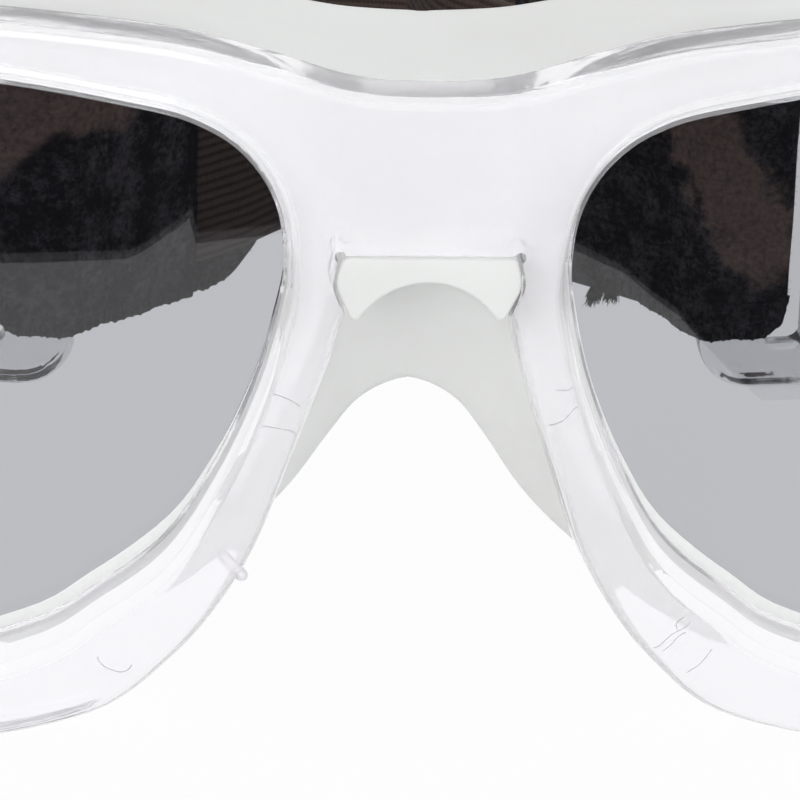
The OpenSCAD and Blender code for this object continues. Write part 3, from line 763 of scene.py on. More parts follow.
# the sprue nub under the left rim by the nose
def makeNub():
    form = nubForm
    start, end = (np.array(wrapPoint(form[key], form["depth"])) for key in ("from", "to"))
    way = unit(end - start)
    u = unit(np.cross(way, np.array([0, 1.0, 0])))
    v = np.cross(way, u)
    r, sides = form["radius"], form["sides"]
    head = [(-r * 0.98, 0.2 * r)] + [(-r * math.cos(g), math.sin(g) * r) for g in (0.5, 0.9, 1.3)]
    length = float(np.linalg.norm(end - start))
    rings = head + [(length - along, wide) for along, wide in head[::-1]]
    points = [p for along, wide in rings for p in ringPoints(start + way * along, u, v, wide, sides)]
    nub = addObject("nub", points, loftFaces(len(rings), sides) + capFaces(len(rings), sides), milkyPlastic)
    cleanMesh(nub)
    return nub


reliefForm = {"inset": 0.45, "drop": 0.1, "radius": 0.4, "flare": 0.5, "rounding": 0.18}
earTop = earBottoms[1] + hinge["earHeight"]
hingeHoles = [  # name, radius, sides, lower and upper end
    ("bore", hinge["screw"] + hinge["play"], 24, earBottoms[0] - 1, earTop + 1),
    ("headPocket", hinge["screw"] * 1.8 + 0.1, 24, earTop - 1.2, earTop + 1),
    ("nutPocket", hinge["screw"] * 2 + 0.08, 6, earBottoms[0] - 1, earBottoms[0] + 1.5),
]


def makeFront():
    form = frontForm
    sections = [frontSection(s) for s in makeStations(form["rowSteps"], form["bridgeSteps"])]
    faces = sectionFaces(sections, len(form["bridgeSteps"]), *form["outerWall"])
    front = addObject("clearFront", [p for section in sections for p in section], faces, clearPlastic)
    front.data.materials.append(milkyPlastic)
    for poly, face in zip(front.data.polygons, faces):
        poly.material_index = 1 if form["milkyFace"][0] <= face[0] % len(sections[0]) < form["milkyFace"][1] else 0
    cleanMesh(front)
    mirrorHalf(front)
    notch = flaredCutter("notchCutter", lambda flare: notchOutline(-flare), form["notchRound"])
    booleanWith(front, notch, "DIFFERENCE")
    for side in (-1, 1):
        at = (side * (eyeForm["notchWidth"] / 2 - reliefForm["inset"]), bridgeBottom - reliefForm["drop"])
        relief = flaredCutter("reliefCutter", lambda flare: circlePoints(
            *at, reliefForm["radius"] + flare * reliefForm["flare"], 20), reliefForm["rounding"])
        booleanWith(front, relief, "DIFFERENCE")
    for side in (-1, 1):
        for bottom in earBottoms:
            own = [np.array([p[0] * side, p[1]]) for p in earOutline()[::side]]
            booleanWith(front, pillar("ear", own, bottom, bottom + hinge["earHeight"], 0.3, clearPlastic), "UNION")
        for name, radius, sides, low, high in hingeHoles:
            hole = circlePoints(hinge["x"] * side, hinge["y"], radius, sides)
            booleanWith(front, pillar(name, hole, low, high, 0, clearPlastic), "DIFFERENCE")
    cleanMesh(front, 0.001, False)
    softEdges(front, 38)
    front = joinObjects([front, makeFlowLines(), makeNub()], "clearFront")
    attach(front, "frame")
    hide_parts("frame_front")
    return front


clearFront = makeFront()
print("clear front made:", len(clearFront.data.polygons))

# lenses
lensForm = {
    "thick": 2.0, "seat": 0.25, "play": 0.1, "rings": 12, "edge": 0.25,
    "paintedLightWidth": 0.8, "paintedLightFrom": 0.3, "paintedLightRise": 0.45, "paintedLightGap": 0.03,  # painted light: a cream band on the lens's lower edge, widening towards the bottom, standing in for the lit edge and the liner seen through the lens
}


def makeLens(side, name, node):
    form = lensForm
    stations = makeStations(5, frontForm["bridgeSteps"])
    front = frontForm["grooveFront"] + form["play"]
    rear = front + form["thick"]
    rings, rounding = form["rings"], form["edge"]
    rim = [s["a"] + s["inNormal"] * form["seat"] for s in stations]
    n = len(rim)
    paintedLightWidths = [form["paintedLightWidth"] * smoothStep((-s["inNormal"][1] - form["paintedLightFrom"]) / form["paintedLightRise"]) for s in stations]
    points = []

    def addSpot(q, h):
        x, y, z = wrapPoint(q, h)
        points.append((x * side, y, z))

    for h in (front, rear):
        for k in range(1, rings + 1):
            for p, paintedLightWidth in zip(rim, paintedLightWidths):
                q, out = mix(eyeMid, p, k / rings), unit(p - eyeMid)
                if k == rings:
                    q = q - out * rounding
                if k == rings - 1:
                    q = p - out * (rounding + form["paintedLightGap"] + paintedLightWidth)
                addSpot(q, h)
    for p in rim:
        addSpot(p, front + rounding)
        addSpot(p, rear - rounding)
    middle = len(points)
    addSpot(eyeMid, front)
    addSpot(eyeMid, rear)
    faces = []
    for face in (0, 1):
        first = face * rings * n
        faces += loftFaces(rings, n, first)
        faces += [(middle + face, first + j, first + (j + 1) % n) for j in range(n)]
    edge = 2 * rings * n
    outer, inner = (rings - 1) * n, (2 * rings - 1) * n
    # painted light: the cream band beside the rim widens towards the bottom, and the lower edge faces go cream too
    paintedLightFaces = [(rings - 2) * n + j for j in range(n) if paintedLightWidths[j] > 0]
    for j in range(n):
        k = (j + 1) % n
        if stations[j]["inNormal"][1] < 0:
            paintedLightFaces += [len(faces), len(faces) + 1]
        faces += [(outer + j, edge + 2 * j, edge + 2 * k, outer + k),
                  (edge + 2 * j, edge + 2 * j + 1, edge + 2 * k + 1, edge + 2 * k),
                  (edge + 2 * j + 1, inner + j, inner + k, edge + 2 * k + 1)]
    lens = addObject(name, points, faces, greyLens)
    lens.data.materials.append(paintedEdgeLight)
    for k in paintedLightFaces:
        lens.data.polygons[k].material_index = 1
    cleanMesh(lens)
    softEdges(lens, 35)
    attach(lens, "frame")
    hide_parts(node)
    return lens


makeLens(-1, "greyLensLeft", "lens_left")
makeLens(1, "greyLensRight", "lens_right")
print("lenses made")

# silicone liner
linerForm = {
    "skirt": 9.6, "lipWidth": 2.2, "gap": 0.2, "footIn": 0.15, "footOut": 1.0, "footWide": 1.9, "browRise": 0.8,
    "fuller": 0.35, "rowSteps": 4, "bridgeSteps": [0, 0.06, 0.3, 0.7, 0.94], "tabArch": 5.4,
    "tabTop": 2, "tabFrom": 0.22, "tabBehind": 1.4, "tabEdge": 0.28, "tabCorner": 0.6, "archPoints": 19,
    "wallStep": [(0.86, 0.0), (0.66, 0.12), (0.6, 0.42), (0.3, 0.36)],  # share of the wall's height, swell
    "browSpan": (5, 7), "browFacing": (0.5, 0.3), "sillFacing": (0.25, 0.5),  # where a change starts and its run
    "innerDrop": 0.5, "outerDrop": 0.7, "hollow": 0.4, "edgeHold": 0.3, "footRise": 0.9,
    "hingeRoom": 0.4, "roomFrom": -2, "roomTo": 75,  # the space left free round the ears
}


# points round the skirt's section: foot, inner wall, lip, outer wall with its step
def linerSection(s):
    form = linerForm
    a, b, c = s["a"], s["b"], s["c"]
    e = unit(b - a)
    (browStart, browRun), (facing, turn) = form["browSpan"], form["browFacing"]
    rise = form["browRise"] * smoothStep((c[0] - browStart) / browRun) * smoothStep((s["outNormal"][1] - facing) / turn)
    c = c + np.array([0, rise])
    inward = unit(eyeMid - c)
    d = c + inward * form["lipWidth"] * s["lip"]
    h = eyeForm["thick"] + form["gap"]
    rear = depthAt(c[0], eyeForm["thick"]) + form["skirt"] * s["depth"]
    start = np.array(wrapPoint(a + e * form["footIn"], h))
    footEnd = mix(b - e * (0 if s["centre"] else form["footOut"]), a + e * form["footWide"],
                  smoothStep((-s["inNormal"][1] - form["sillFacing"][0]) / form["sillFacing"][1]))
    foot = np.array(wrapPoint(footEnd, h))
    lipIn = np.array([d[0], rear - form["innerDrop"], d[1]])
    flat = np.array([0, 0, inward[1]]) if s["centre"] else np.array([inward[0], 0, inward[1]])
    drop, fuller = (0, 0) if s["run"] else (form["outerDrop"], form["fuller"])
    lipOut = np.array([c[0], rear - drop, c[1]]) - flat * fuller
    outer = [mix(foot, lipOut, t) + flat * swell for t, swell in form["wallStep"]]
    middle = mix(start, lipIn, 0.5) - np.array([inward[0], 0, inward[1]]) * form["hollow"]
    lip = [np.array([mix(d[0], c[0], t), rear, mix(d[1], c[1], t)]) for t in (0.3, 0.7)]
    return [start, start + unit(middle - start) * form["edgeHold"], middle, lipIn, *lip, lipOut, *outer,
            foot + np.array([0, form["footRise"], 0]), foot, start + unit(foot - start) * form["edgeHold"]]


def makeLiner():
    form = linerForm
    sections = [linerSection(s) for s in makeStations(form["rowSteps"], form["bridgeSteps"])]
    joined = len(form["bridgeSteps"])
    wallFrom, wallTo = 6, len(sections[0]) - 2
    for i in range(1, joined):
        for j in range(wallFrom + 1, wallTo):
            sections[i][j] = sections[i][wallFrom if j < 9 else wallTo].copy()
    faces = sectionFaces(sections, joined, wallFrom, wallTo)
    liner = addObject("siliconeLiner", [p for section in sections for p in section], faces, silicone)
    cleanMesh(liner)
    mirrorHalf(liner)
    smooth = liner.modifiers.new("smooth", "SUBSURF")
    smooth.levels = smooth.render_levels = 2
    bpy.context.view_layer.update()
    applyModifiers(liner)
    room, low, far, high = form["hingeRoom"], form["roomFrom"], form["roomTo"], hinge["y"]
    near = hinge["x"] - hinge["knuckleRadius"] - room
    for side in (-1, 1):
        box = [np.array([x * side, y]) for x, y in [(near, low), (far, low), (far, high), (near, high)][::side]]
        booleanWith(liner, pillar("earRoom", box, earBottoms[0] - room, earTop + room, 0, silicone), "DIFFERENCE")
    tabRear = eyeForm["thick"] + form["tabBehind"]
    tab = slabFromOutline("tab", tabOutline(), [], form["tabFrom"], tabRear, form["tabEdge"], silicone)
    booleanWith(liner, tab, "UNION")
    cleanMesh(liner, 0.001, False)
    softEdges(liner, 50)
    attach(liner, "frame")
    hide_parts("face_liner")
    return liner


# the keyed tab, anticlockwise, with the nose arch cut from its lower edge
def tabOutline():
    form = linerForm
    gap, arch = form["gap"], form["tabArch"]
    left, right = (keyedSide(side, gap, form["tabCorner"]) for side in (-1, 1))
    sides = roundedOutline(right + left[::-1], 6)
    centre = bridgeBottom - form["tabTop"] - arch
    reach = math.asin(min(1, max(-1, (notchLow + gap - centre) / arch)))
    arc = [np.array([arch * math.cos(g), centre + arch * math.sin(g)])
           for g in np.linspace(math.pi - reach, reach, form["archPoints"])]
    return sides + arc


siliconeLiner = makeLiner()
print("liner made:", len(siliconeLiner.data.polygons))

# temples
templeForm = {
    "length": 42.8, "thick": 3.4, "loopHeight": 32.0, "bar": 5.0, "slot": 2.8, "bow": 1.6, "edge": 0.55,
    "corner": 4.0, "slotRoom": 0.6, "slotCorner": 0.8, "shoulder": 0.265, "loopRun": 8, "neckRun": 2.4,
    "neckFlare": 3.6, "neckRise": 1, "neckRound": 1.2, "flareRound": 4, "loopRound": 8, "bends": 22,
    "boreFrom": 20, "boreTo": 50, "loopShare": 0.668,
}
loopMid = sill + eyeForm["height"] * templeForm["loopShare"]
tipX = hinge["x"] - templeForm["length"]
slotX = tipX + templeForm["bar"]
strapWidth = 25.0
strapBottom = loopMid - strapWidth / 2
elasticWidth = 18.4
elasticBottom = loopMid - elasticWidth / 2


def bowAt(x):
    share = min(1.0, max(0.0, (hinge["x"] - x) / templeForm["length"]))
    return templeForm["bow"] * math.sin(math.pi * share)


def makeTemple(side, name, node, body):
    form = templeForm
    x, y, half = hinge["x"], hinge["y"], form["thick"] / 2
    neck = hinge["knuckleHeight"] / 2 - 0.05
    neckLow, neckTop = loopMid + form["neckRise"] - neck, loopMid + form["neckRise"] + neck
    neckRound, flareRound, loopRound = form["neckRound"], form["flareRound"], form["loopRound"]
    neckX = x - hinge["knuckleRadius"] - form["neckRun"]
    flareX = neckX - form["neckFlare"]
    loopEnd = tipX + form["bar"] + form["slot"] + form["loopRun"]
    tall, shoulder, corner = form["loopHeight"] / 2, form["loopHeight"] * form["shoulder"], form["corner"]
    outline = roundedOutline([
        (x, neckLow, 0), (x, neckTop, 0), (neckX, neckTop, neckRound), (flareX, loopMid + shoulder, flareRound),
        (loopEnd, loopMid + tall, loopRound), (tipX, loopMid + tall, corner), (tipX, loopMid - tall, corner),
        (loopEnd, loopMid - tall, loopRound), (flareX, loopMid - shoulder, flareRound), (neckX, neckLow, neckRound),
    ], 8)
    reach = strapWidth / 2 + form["slotRoom"]
    slot = roundedOutline([
        (slotX + dx, loopMid + dz, form["slotCorner"])
        for dx, dz in ((0, -reach), (form["slot"], -reach), (form["slot"], reach), (0, reach))], 6)
    temple = slabFromOutline(name, outline, [slot], y - half, y + half, form["edge"], templePlastic)

    def bend(bm):
        for k in range(1, form["bends"]):
            at = (tipX + form["length"] * k / form["bends"]) * mm
            bmesh.ops.bisect_plane(bm, geom=bm.verts[:] + bm.edges[:] + bm.faces[:], dist=1e-7,
                                   plane_co=(at, 0, 0), plane_no=(1, 0, 0))
        for v in bm.verts:
            v.co.y += bowAt(v.co.x / mm) * mm
    editMesh(temple, bend)
    low, high = (hinge["z"] + sign * hinge["knuckleHeight"] / 2 for sign in (-1, 1))
    knuckle = pillar("knuckle", circlePoints(x, y, hinge["knuckleRadius"], 40), low, high, 0.25, templePlastic)
    booleanWith(temple, knuckle, "UNION")
    hole = circlePoints(x, y, hinge["screw"] + hinge["play"], 24)
    booleanWith(temple, pillar("bore", hole, form["boreFrom"], form["boreTo"], 0, templePlastic), "DIFFERENCE")
    if side < 0:
        def flip(bm):
            for v in bm.verts:
                v.co.x = -v.co.x
            bmesh.ops.reverse_faces(bm, faces=bm.faces)
        editMesh(temple, flip)
    cleanMesh(temple, 0.001, False)
    softEdges(temple, 38)
    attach(temple, body)
    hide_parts(node)
    return temple


makeTemple(-1, "clearTempleLeft", "temple_left", "temple_left")
makeTemple(1, "clearTempleRight", "temple_right", "temple_right")
print("temples made")

# fabric ends
endForm = {
    "layer": 1.2, "patch": 0.6, "gap": 0.15, "length": 15.5, "rearEnd": {-1: 19.2, 1: 15.5}, "angle": 42.0,
    "edge": 0.45, "frontEnd": {-1: 9.6, 1: 15.4}, "corner": {-1: 5.8, 1: 4.2}, "stitchPitch": 0.78, "lift": 0.85,
    "frontTilt": {-1: -0.2, 1: 1.8}, "rearTilt": {-1: -0.9, 1: 1.1}, "pathStep": 0.42, "rows": 40, "wobble": 0.10,
    "tiltFrom": 22.5, "tiltRun": 6, "foldFrom": 26.8, "foldRun": 1.63, "foldLift": 3.0, "tailShift": (0.6, 0.4),
    "ripples": [(0.10, 0.9), (0.06, 2.3)],  # height and turns of the two waves in the long edges
}
layerOffset = endForm["patch"] / 2 + 0.05 + endForm["layer"] / 2  # from the fold's middle to a layer's middle
tailAngle = math.radians(endForm["angle"])
tailStart = np.array([tipX - endForm["layer"] - endForm["gap"] + endForm["tailShift"][0],
                      hinge["y"] + endForm["tailShift"][1]])
tailWay = np.array([-math.cos(tailAngle), math.sin(tailAngle)])
tailAcross = np.array([math.sin(tailAngle), math.cos(tailAngle)])


def tailPoint(s, across=0.0):
    return tailStart + tailWay * s + tailAcross * across


# a path through rows of x, y and corner cut, sampled evenly
def smoothPath(corners, spacing):
    dense = [np.array(corners[0][:2])]
    for i in range(1, len(corners) - 1):
        before, p, after = (np.array(corners[i + d][:2]) for d in (-1, 0, 1))
        start, end = (p + unit(q - p) * corners[i][2] for q in (before, after))
        for t in (k / 8 for k in range(9)):
            dense.append((1 - t) ** 2 * start + 2 * t * (1 - t) * p + t * t * end)
    dense.append(np.array(corners[-1][:2]))
    return evenPath(dense, spacing)


def evenPath(dense, spacing):
    lengths = [0.0]
    for p, q in zip(dense, dense[1:]):
        lengths.append(lengths[-1] + float(np.linalg.norm(q - p)))
    marks = np.linspace(0, lengths[-1], max(2, int(round(lengths[-1] / spacing))) + 1)
    xs, ys = (np.interp(marks, lengths, [p[k] for p in dense]) for k in (0, 1))
    return [np.array([x, y]) for x, y in zip(xs, ys)], marks


def pathNormals(path):
    return [leftOf(path[min(i + 1, len(path) - 1)] - path[max(i - 1, 0)]) for i in range(len(path))]


swellScale = (0.21, 0.17)  # how quickly a strap's soft unevenness changes, along it and across


# a strap of some thickness on a path seen from above, with rounded long edges
def stripMesh(name, path, marks, thick, bottoms, tops, material, side, rows, edge, wobble, seed):
    points, lengths = [], []
    half = thick / 2
    flat = [k / rows for k in range(rows + 1)]
    turns = [math.pi * k / 6 for k in range(1, 6)]
    alongScale, acrossScale = swellScale
    for p, m, mark, low, high in zip(path, pathNormals(path), marks, bottoms, tops):
        ring = [(half, mix(low + edge, high - edge, t)) for t in flat]
        ring += [(half * math.cos(g), high - edge + edge * math.sin(g)) for g in turns]
        ring += [(-half, mix(high - edge, low + edge, t)) for t in flat]
        ring += [(-half * math.cos(g), low + edge - edge * math.sin(g)) for g in turns]
        for off, z in ring:
            swell = noise.noise(Vector((mark * alongScale, z * acrossScale, seed))) * wobble
            q = p + m * (off + swell)
            points.append((q[0] * side, q[1], z))
            lengths.append((mark, z))
    faces = loftFaces(len(path), len(ring)) + capFaces(len(path), len(ring))
    strip = addObject(name, points, faces, material)
    layer = strip.data.uv_layers.new(name="strap")
    for loop, place in zip(strip.data.loops, layer.data):
        place.uv = lengths[loop.vertex_index]
    editMesh(strip, lambda bm: bmesh.ops.recalc_face_normals(bm, faces=bm.faces))
    return strip


# how far the fabric's lower edge rises: in all, along the tail, and round the outer fold
def edgeLift(tilt, p):
    form = endForm
    fold = min(1.0, max(0.0, (p[0] - form["foldFrom"]) / form["foldRun"]))
    slope = tilt * smoothStep((form["tiltFrom"] - p[0]) / form["tiltRun"])
    return form["lift"] + slope + form["foldLift"] * (1 - math.sqrt(1 - fold * fold))


def makeFabricEnd(side, name, node, body):
    form = endForm
    reach = form["gap"] + form["layer"] / 2
    yFront = hinge["y"] - templeForm["thick"] / 2 - reach
    yRear = hinge["y"] + bowAt(slotX) + templeForm["thick"] / 2 + reach
    path, marks = smoothPath([
        (*tailPoint(form["frontEnd"][side], -layerOffset), 0), (*tailPoint(1.6, -layerOffset), 1.1),
        (tipX - reach + 1.0, yFront, 0.8), (slotX + reach, yFront, 0.9), (slotX + reach, yRear, 0.9),
        (tipX - reach + 0.3, yRear, 0.9), (*tailPoint(3.2, layerOffset), 0.9),
        (*tailPoint(form["rearEnd"][side], layerOffset), 0),
    ], form["pathStep"])
    total, corner = marks[-1], form["corner"][side]
    (wide, wideTurns), (fine, fineTurns) = form["ripples"]
    bottoms, tops = [], []
    for p, s in zip(path, marks):
        left = total - s
        tilt = form["frontTilt" if s < total / 2 else "rearTilt"][side]
        cut = 0.0
        if left < corner:
            cut = corner - math.sqrt(max(0.0, corner ** 2 - (corner - left) ** 2))
        ripple = wide * math.sin(s * wideTurns + side) + fine * math.sin(s * fineTurns)
        bottoms.append(strapBottom + edgeLift(tilt, p) + cut * 0.95 + ripple)
        tops.append(strapBottom + strapWidth - 0.15 - cut * 0.95 + ripple * 0.7)
    strip = stripMesh(name, path, marks, form["layer"] - 0.12, bottoms, tops, velours[side], side, form["rows"],
                      form["edge"], form["wobble"], 3.0 + side)
    softEdges(strip, 70)
    fibres = makeFibres(strip, name + "Pile", side)
    stitches = makeStitches(path, marks, bottoms, tops, side)
    whole = joinObjects([strip, fibres, stitches] + ([makeTuft(side)] if side > 0 else []), name)
    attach(whole, body)
    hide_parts(node)
    return whole


pileForm = {"count": 7000, "shortest": 0.12, "longest": 0.34, "width": 0.022, "root": 0.05, "stand": 0.8, "lean": 0.8}


# short pile standing off the fabric, mostly lying over
def makeFibres(strip, name, side):
    form = pileForm
    dice = random.Random(40 + side)
    mesh = strip.data
    polys = [p for p in mesh.polygons if p.area > 0 and len(p.vertices) == 4]
    areas = np.cumsum([p.area for p in polys])
    points, faces = [], []
    for _ in range(form["count"]):
        poly = polys[int(np.searchsorted(areas, dice.random() * areas[-1]))]
        spots = [mesh.vertices[v].co for v in poly.vertices]
        u, v = dice.random(), dice.random()
        at = (spots[0] * (1 - u) + spots[1] * u) * (1 - v) + (spots[3] * (1 - u) + spots[2] * u) * v
        base = np.array([at.x / mm, at.y / mm - rowShift, at.z / mm])
        normal = np.array(poly.normal)
        lean = np.array([dice.uniform(-1, 1), dice.uniform(-1, 1), dice.uniform(-1, 0.6)])
        length = dice.uniform(form["shortest"], form["longest"])
        tip = base + unit(normal * form["stand"] + lean * form["lean"]) * length
        spike(points, faces, base - normal * form["root"], tip, form["width"])
    return addObject(name, points, faces, velours[side], False)


stitchForm = {
    "depth": 1.1, "slant": 0.4, "thread": 0.10, "from": 1.0, "stop": 3.6, "stand": 0.02, "sink": 0.03, "belly": 0.9,
}


# overlock thread wound over both long edges of the fabric
def makeStitches(path, marks, bottoms, tops, side):
    form = stitchForm
    points, faces = [], []
    normals = pathNormals(path)
    half = endForm["layer"] / 2 + form["stand"]
    for level, sign in ((bottoms, 1), (tops, -1)):
        s = form["from"]
        while s < marks[-1] - form["stop"]:
            i = int(np.searchsorted(marks, s))
            p, m, z = path[i], normals[i], level[i]
            along = np.array([m[1], -m[0]])
            ring = []
            for k in range(9):
                g = math.pi * (k / 8)
                q = p + m * half * math.cos(g) + along * ((k / 8 - 0.5) * form["slant"])
                lift = form["depth"] * (1 - math.sin(g)) * (1 if k in (0, 8) else form["belly"])
                ring.append(np.array([q[0] * side, q[1], z + sign * (lift - form["sink"])]))
            for a, b in zip(ring, ring[1:]):
                tube(points, faces, a, b, form["thread"])
            s += endForm["stitchPitch"]
    return addObject("stitches", points, faces, stitchThread)


tuftForm = {
    "at": (6.3, -1.3), "threads": 320, "thread": 0.035,
    "locks": [(-0.55, -0.35, 1.15), (0.45, -0.05, 0.9)],  # place, lean and length of the two locks
    "spread": (0.42, 0.35), "rise": (2.3, 3.0), "sway": (0.35, 0.3), "share": (0.5, 1.0),
    "tipFrom": (-0.5, -0.2), "tipTo": (0.3, 0.2), "tipFall": -0.6, "tipShare": (0.2, 0.9),
}


# frayed threads under the corner of the fabric end
def makeTuft(side):
    form = tuftForm
    dice = random.Random(7)
    points, faces = [], []
    root = tailPoint(*form["at"])
    (wide, deep), (swayWide, swayDeep) = form["spread"], form["sway"]
    for k in range(form["threads"]):
        at, lean, length = form["locks"][k % 2]
        base = np.array([(root[0] + at + dice.uniform(-wide, wide)) * side, root[1] + dice.uniform(-deep, deep),
                         strapBottom + dice.uniform(*form["rise"])])
        fall = np.array([lean + dice.uniform(-swayWide, swayWide), dice.uniform(-swayDeep, swayDeep), -1.0])
        bendAt = base + fall * length * dice.uniform(*form["share"])
        end = np.array([dice.uniform(*ends) for ends in zip(form["tipFrom"], form["tipTo"])] + [form["tipFall"]])
        tip = bendAt + end * dice.uniform(*form["tipShare"])
        tube(points, faces, base, bendAt, form["thread"], 3)
        spike(points, faces, bendAt, tip, form["thread"])
    return addObject("tuft", points, faces, velours[side], False)


makeFabricEnd(-1, "fabricEndLeft", "strap_end_left", "temple_left")
makeFabricEnd(1, "fabricEndRight", "strap_end_right", "temple_right")
print("fabric ends made")

# hook patches inside the folds
patchForm = {
    "from": 2.5, "to": {-1: 8.5, 1: 14.3}, "inset": 1.6, "thick": 0.36, "spacing": 0.6, "rows": 10, "edge": 0.12,
    "hookPitch": 1.0, "hookWidth": 0.09, "hookFrom": -0.16, "hookTo": -0.29, "hookLean": 0.12,
    "hookMargins": ((0.5, 0.3), (0.6, 0.5)),  # at both ends along the patch and across it
}


def makePatch(side, name, node, body):
    form = patchForm
    start, end = form["from"], form["to"][side]
    path, marks = evenPath([tailPoint(start), tailPoint(end)], form["spacing"])
    low, high = strapBottom + form["inset"], strapBottom + strapWidth - form["inset"]
    patch = stripMesh(name, path, marks, form["thick"], [low] * len(path), [high] * len(path), hookTape, side,
                      form["rows"], form["edge"], 0.0, 1.0)
    points, faces = [], []
    (first, last), (lowest, highest) = form["hookMargins"]
    s = start + first
    while s < end - last:
        spots = tailPoint(s, form["hookFrom"]), tailPoint(s + form["hookLean"], form["hookTo"])
        z = low + lowest
        while z < high - highest:
            root, tip = (np.array([q[0] * side, q[1], z]) for q in spots)
            spike(points, faces, root, tip, form["hookWidth"])
            z += form["hookPitch"]
        s += form["hookPitch"]
    whole = joinObjects([patch, addObject("hooks", points, faces, hookTape, False)], name)
    softEdges(whole, 50)
    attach(whole, body)
    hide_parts(node)
    return whole


makePatch(-1, "hookPatchLeft", "hook_patch_left", "temple_left")
makePatch(1, "hookPatchRight", "hook_patch_right", "temple_right")
print("hook patches made")

# elastic strap, one piece a side
bandForm = {
    "thick": 1.35, "spacing": 0.8, "rows": 26, "edge": 0.35, "wobble": 0.06,
    "way": [(4.2, 52), (4.4, 60), (11, 68), (23, 74.5), (33.5, 85), (38.5, 101), (34, 118), (20, 131), (0, 135.2)],
    "hangStart": 8, "hangEnd": 112.0, "margin": 0.02, "start": 0.05,
    "under": [(11.5, 1.0), (14.5, 0.95)], "leave": (18.0, -0.35), "turn": (-5, 5.2),  # the way past the fabric end
}
tailEnd = tailPoint(endForm["length"] + 0.3)


def bandWay(side):
    form, end = bandForm, endForm["frontEnd"][side]
    lead = [tailPoint(end + form["start"], -layerOffset)]
    lead += [tailPoint(s, -layerOffset * share) for s, share in form["under"] if end < form["under"][0][0]]
    rough = lead + [tailPoint(*form["leave"]), tailEnd + np.array(form["turn"])]
    rough += [np.array(p, float) for p in form["way"]]
    knots = [2 * rough[0] - rough[1]] + rough + [np.array([-rough[-2][0], rough[-2][1]])]
    dense = [curvePoint(*knots[k - 1:k + 3], n / 12) for k in range(1, len(knots) - 2) for n in range(12)]
    return dense + [knots[-2]]


def makeElastic(side, name):
    form = bandForm
    path, marks = evenPath(bandWay(side), form["spacing"])
    hangStart = tailEnd[1] + form["hangStart"]
    bottoms, tops = [], []
    for p in path:
        drop = elasticBottom * smoothStep((p[1] - hangStart) / (form["hangEnd"] - hangStart))
        bottoms.append(elasticBottom - drop + form["margin"])
        tops.append(elasticBottom - drop + elasticWidth - form["margin"])
    strip = stripMesh(name, path, marks, form["thick"], bottoms, tops, blackElastic, side, form["rows"],
                      form["edge"], form["wobble"], 9.0)
    softEdges(strip, 60)
    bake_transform(strip)
    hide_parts("strap_band")
    return strip


makeElastic(-1, "elasticStrapLeft")
makeElastic(1, "elasticStrapRight")
print("elastic strap made")

# hinge hardware keeps its CAD solids
for kind, material in (("hinge_screw", screwSteel), ("hinge_nut", insertBrass), ("hinge_washers", whiteNylon)):
    for hand in ("left", "right"):
        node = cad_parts[kind + "_" + hand]
        if not node.material_slots:
            node.data.materials.append(material)
        for slot in node.material_slots:
            slot.material = material
print("hinge hardware dressed")

# floor, lamps and camera
stageForm = {
    "size": 3.0, "floorLift": -0.0004, "glow": 0.95, "floor": {"Base Color": (0.96, 0.96, 0.96, 1), "Roughness": 0.9},
    "card": {"Base Color": (0.03, 0.03, 0.034, 1), "Roughness": 1.0, "Specular IOR Level": 0.0}, "cardLift": 0.0002,
    "cardEdge": [(-400, -60), (-110, -118), (-72.8, -144.6), (-49.5, -156.4), (-46.5, -160.4), (-39.9, -170),
                 (-37.2, -164), (-20.4, -170.5), (38, -166.5), (48, -154.8), (55.4, -141.2), (60, -118), (95, -100),
                 (400, -60), (400, -900), (-400, -900)],
    "white": {"Color": (1, 1, 1, 1), "Strength": 1.0}, "fill": {"Color": (0.97, 0.98, 1.0, 1), "Strength": 0.55},
    "lampTarget": (0, 0, 0.02),
    "lamps": [  # name, place, size and power
        ("softKey", (-0.35, -0.85, 0.42), (0.6, 0.6), 3.4),
        ("softFill", (0.75, -0.55, 0.45), (0.5, 0.5), 1.5),
        ("softBack", (0.1, 0.7, 0.8), (0.8, 0.5), 1.4),
    ],
}


# one for rays that should see the plain white round the object
def seenRays(tree):
    ray = addNode(tree, "ShaderNodeLightPath").outputs
    seen = mathNode(tree, "MAXIMUM", ray["Is Camera Ray"], ray["Is Glossy Ray"])
    return mathNode(tree, "MAXIMUM", seen, ray["Is Transmission Ray"])


# a level sheet of the stage from corners in metres
def makeSheet(name, corners, z, material):
    mesh = bpy.data.meshes.new(name)
    mesh.from_pydata([(x, y, z) for x, y in corners], [], [tuple(range(len(corners)))])
    mesh.materials.append(material)
    return linkObject(name, mesh)


def makeFloor():
    material, tree = startMaterial("paleFloor")
    bsdf = dressShader(tree, stageForm["floor"])
    glow = addNode(tree, "ShaderNodeEmission", **stageForm["white"])
    mixToSurface(tree, mathNode(tree, "MULTIPLY", seenRays(tree), stageForm["glow"]), bsdf, glow)
    half = stageForm["size"]
    corners = [(-half, -half), (half, -half), (half, half), (-half, half)]
    makeSheet("floor", corners, stageForm["floorLift"], material)


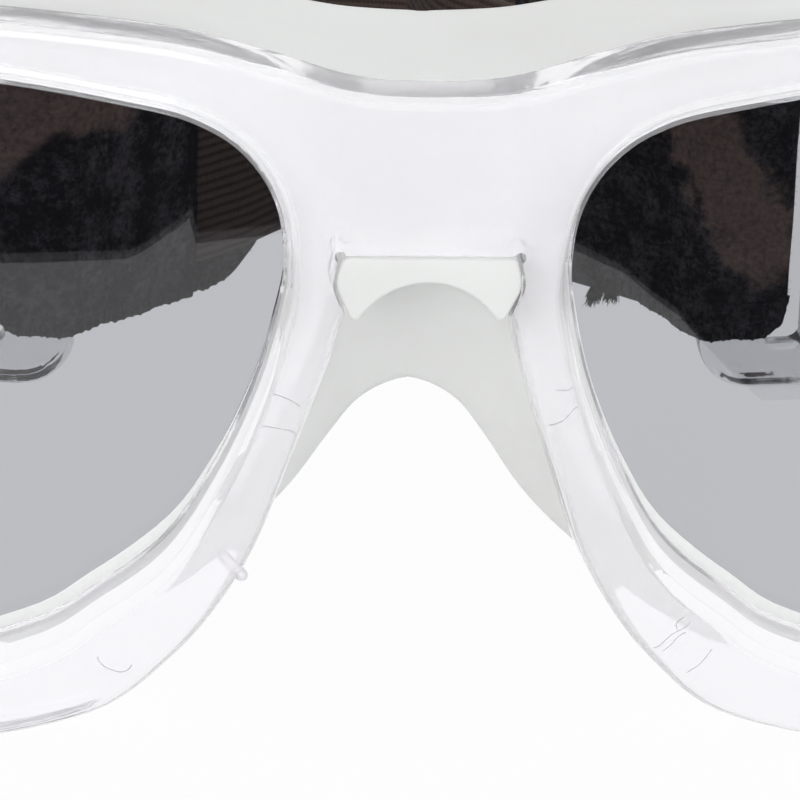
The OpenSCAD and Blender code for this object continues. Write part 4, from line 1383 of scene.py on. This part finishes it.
# the dark room before the table, which only reflections show
def makeDarkCard():
    material, tree = startMaterial("darkRoom")
    bsdf = dressShader(tree, stageForm["card"])
    ray = addNode(tree, "ShaderNodeLightPath")
    nothing = addNode(tree, "ShaderNodeBsdfTransparent", Color=stageForm["white"]["Color"])
    mixToSurface(tree, mathNode(tree, "GREATER_THAN", ray.outputs["Glossy Depth"], 0.5), nothing, bsdf)
    corners = [(x * mm, y * mm) for x, y in stageForm["cardEdge"]]
    card = makeSheet("darkCard", corners, stageForm["cardLift"], material)
    card.visible_camera = card.visible_diffuse = card.visible_shadow = False


def makeWorld():
    world = bpy.data.worlds.new("studio")
    bpy.context.scene.world = world
    world.use_nodes = True
    tree = world.node_tree
    tree.nodes.clear()
    fill, white = (addNode(tree, "ShaderNodeBackground", **stageForm[key]) for key in ("fill", "white"))
    both = addNode(tree, "ShaderNodeMixShader", i0=seenRays(tree), i1=fill.outputs[0], i2=white.outputs[0])
    addNode(tree, "ShaderNodeOutputWorld", Surface=both.outputs[0])


def addLamp(name, place, size, power):
    lamp = bpy.data.lights.new(name, "AREA")
    lamp.shape = "RECTANGLE"
    lamp.size, lamp.size_y = size
    lamp.energy = power
    obj = linkObject(name, lamp)
    obj.location = place
    obj.rotation_euler = (Vector(stageForm["lampTarget"]) - Vector(place)).to_track_quat("-Z", "Y").to_euler()


cameraForm = {
    "azimuth": -5.6, "height": 22.0, "roll": 2.35, "place": (-0.03657, -0.42371, 0.17236),
    "focal": 256.5, "sensor": 36.0, "clip": 0.02,
}


# the photograph's view: from a little left of the middle, 22 degrees above
def makeCamera():
    azimuth, height, roll = (math.radians(cameraForm[key]) for key in ("azimuth", "height", "roll"))
    ahead = Vector((-math.sin(azimuth) * math.cos(height), math.cos(azimuth) * math.cos(height), -math.sin(height)))
    flat = Vector((math.cos(azimuth), math.sin(azimuth), 0))
    up = flat.cross(ahead)
    right = flat * math.cos(roll) + up * math.sin(roll)
    above = up * math.cos(roll) - flat * math.sin(roll)
    data = bpy.data.cameras.new("photoCamera")
    data.sensor_width = cameraForm["sensor"]
    data.lens = cameraForm["focal"]
    data.clip_start = cameraForm["clip"]
    camera = linkObject("photoCamera", data)
    turn = Matrix((right, above, -ahead)).transposed().to_4x4()
    camera.matrix_world = Matrix.Translation(cameraForm["place"]) @ turn
    bpy.context.scene.camera = camera


makeFloor()
makeDarkCard()
makeWorld()
for lamp in stageForm["lamps"]:
    addLamp(*lamp)
makeCamera()
bpy.context.scene.view_settings.view_transform = "Standard"
print("stage set")
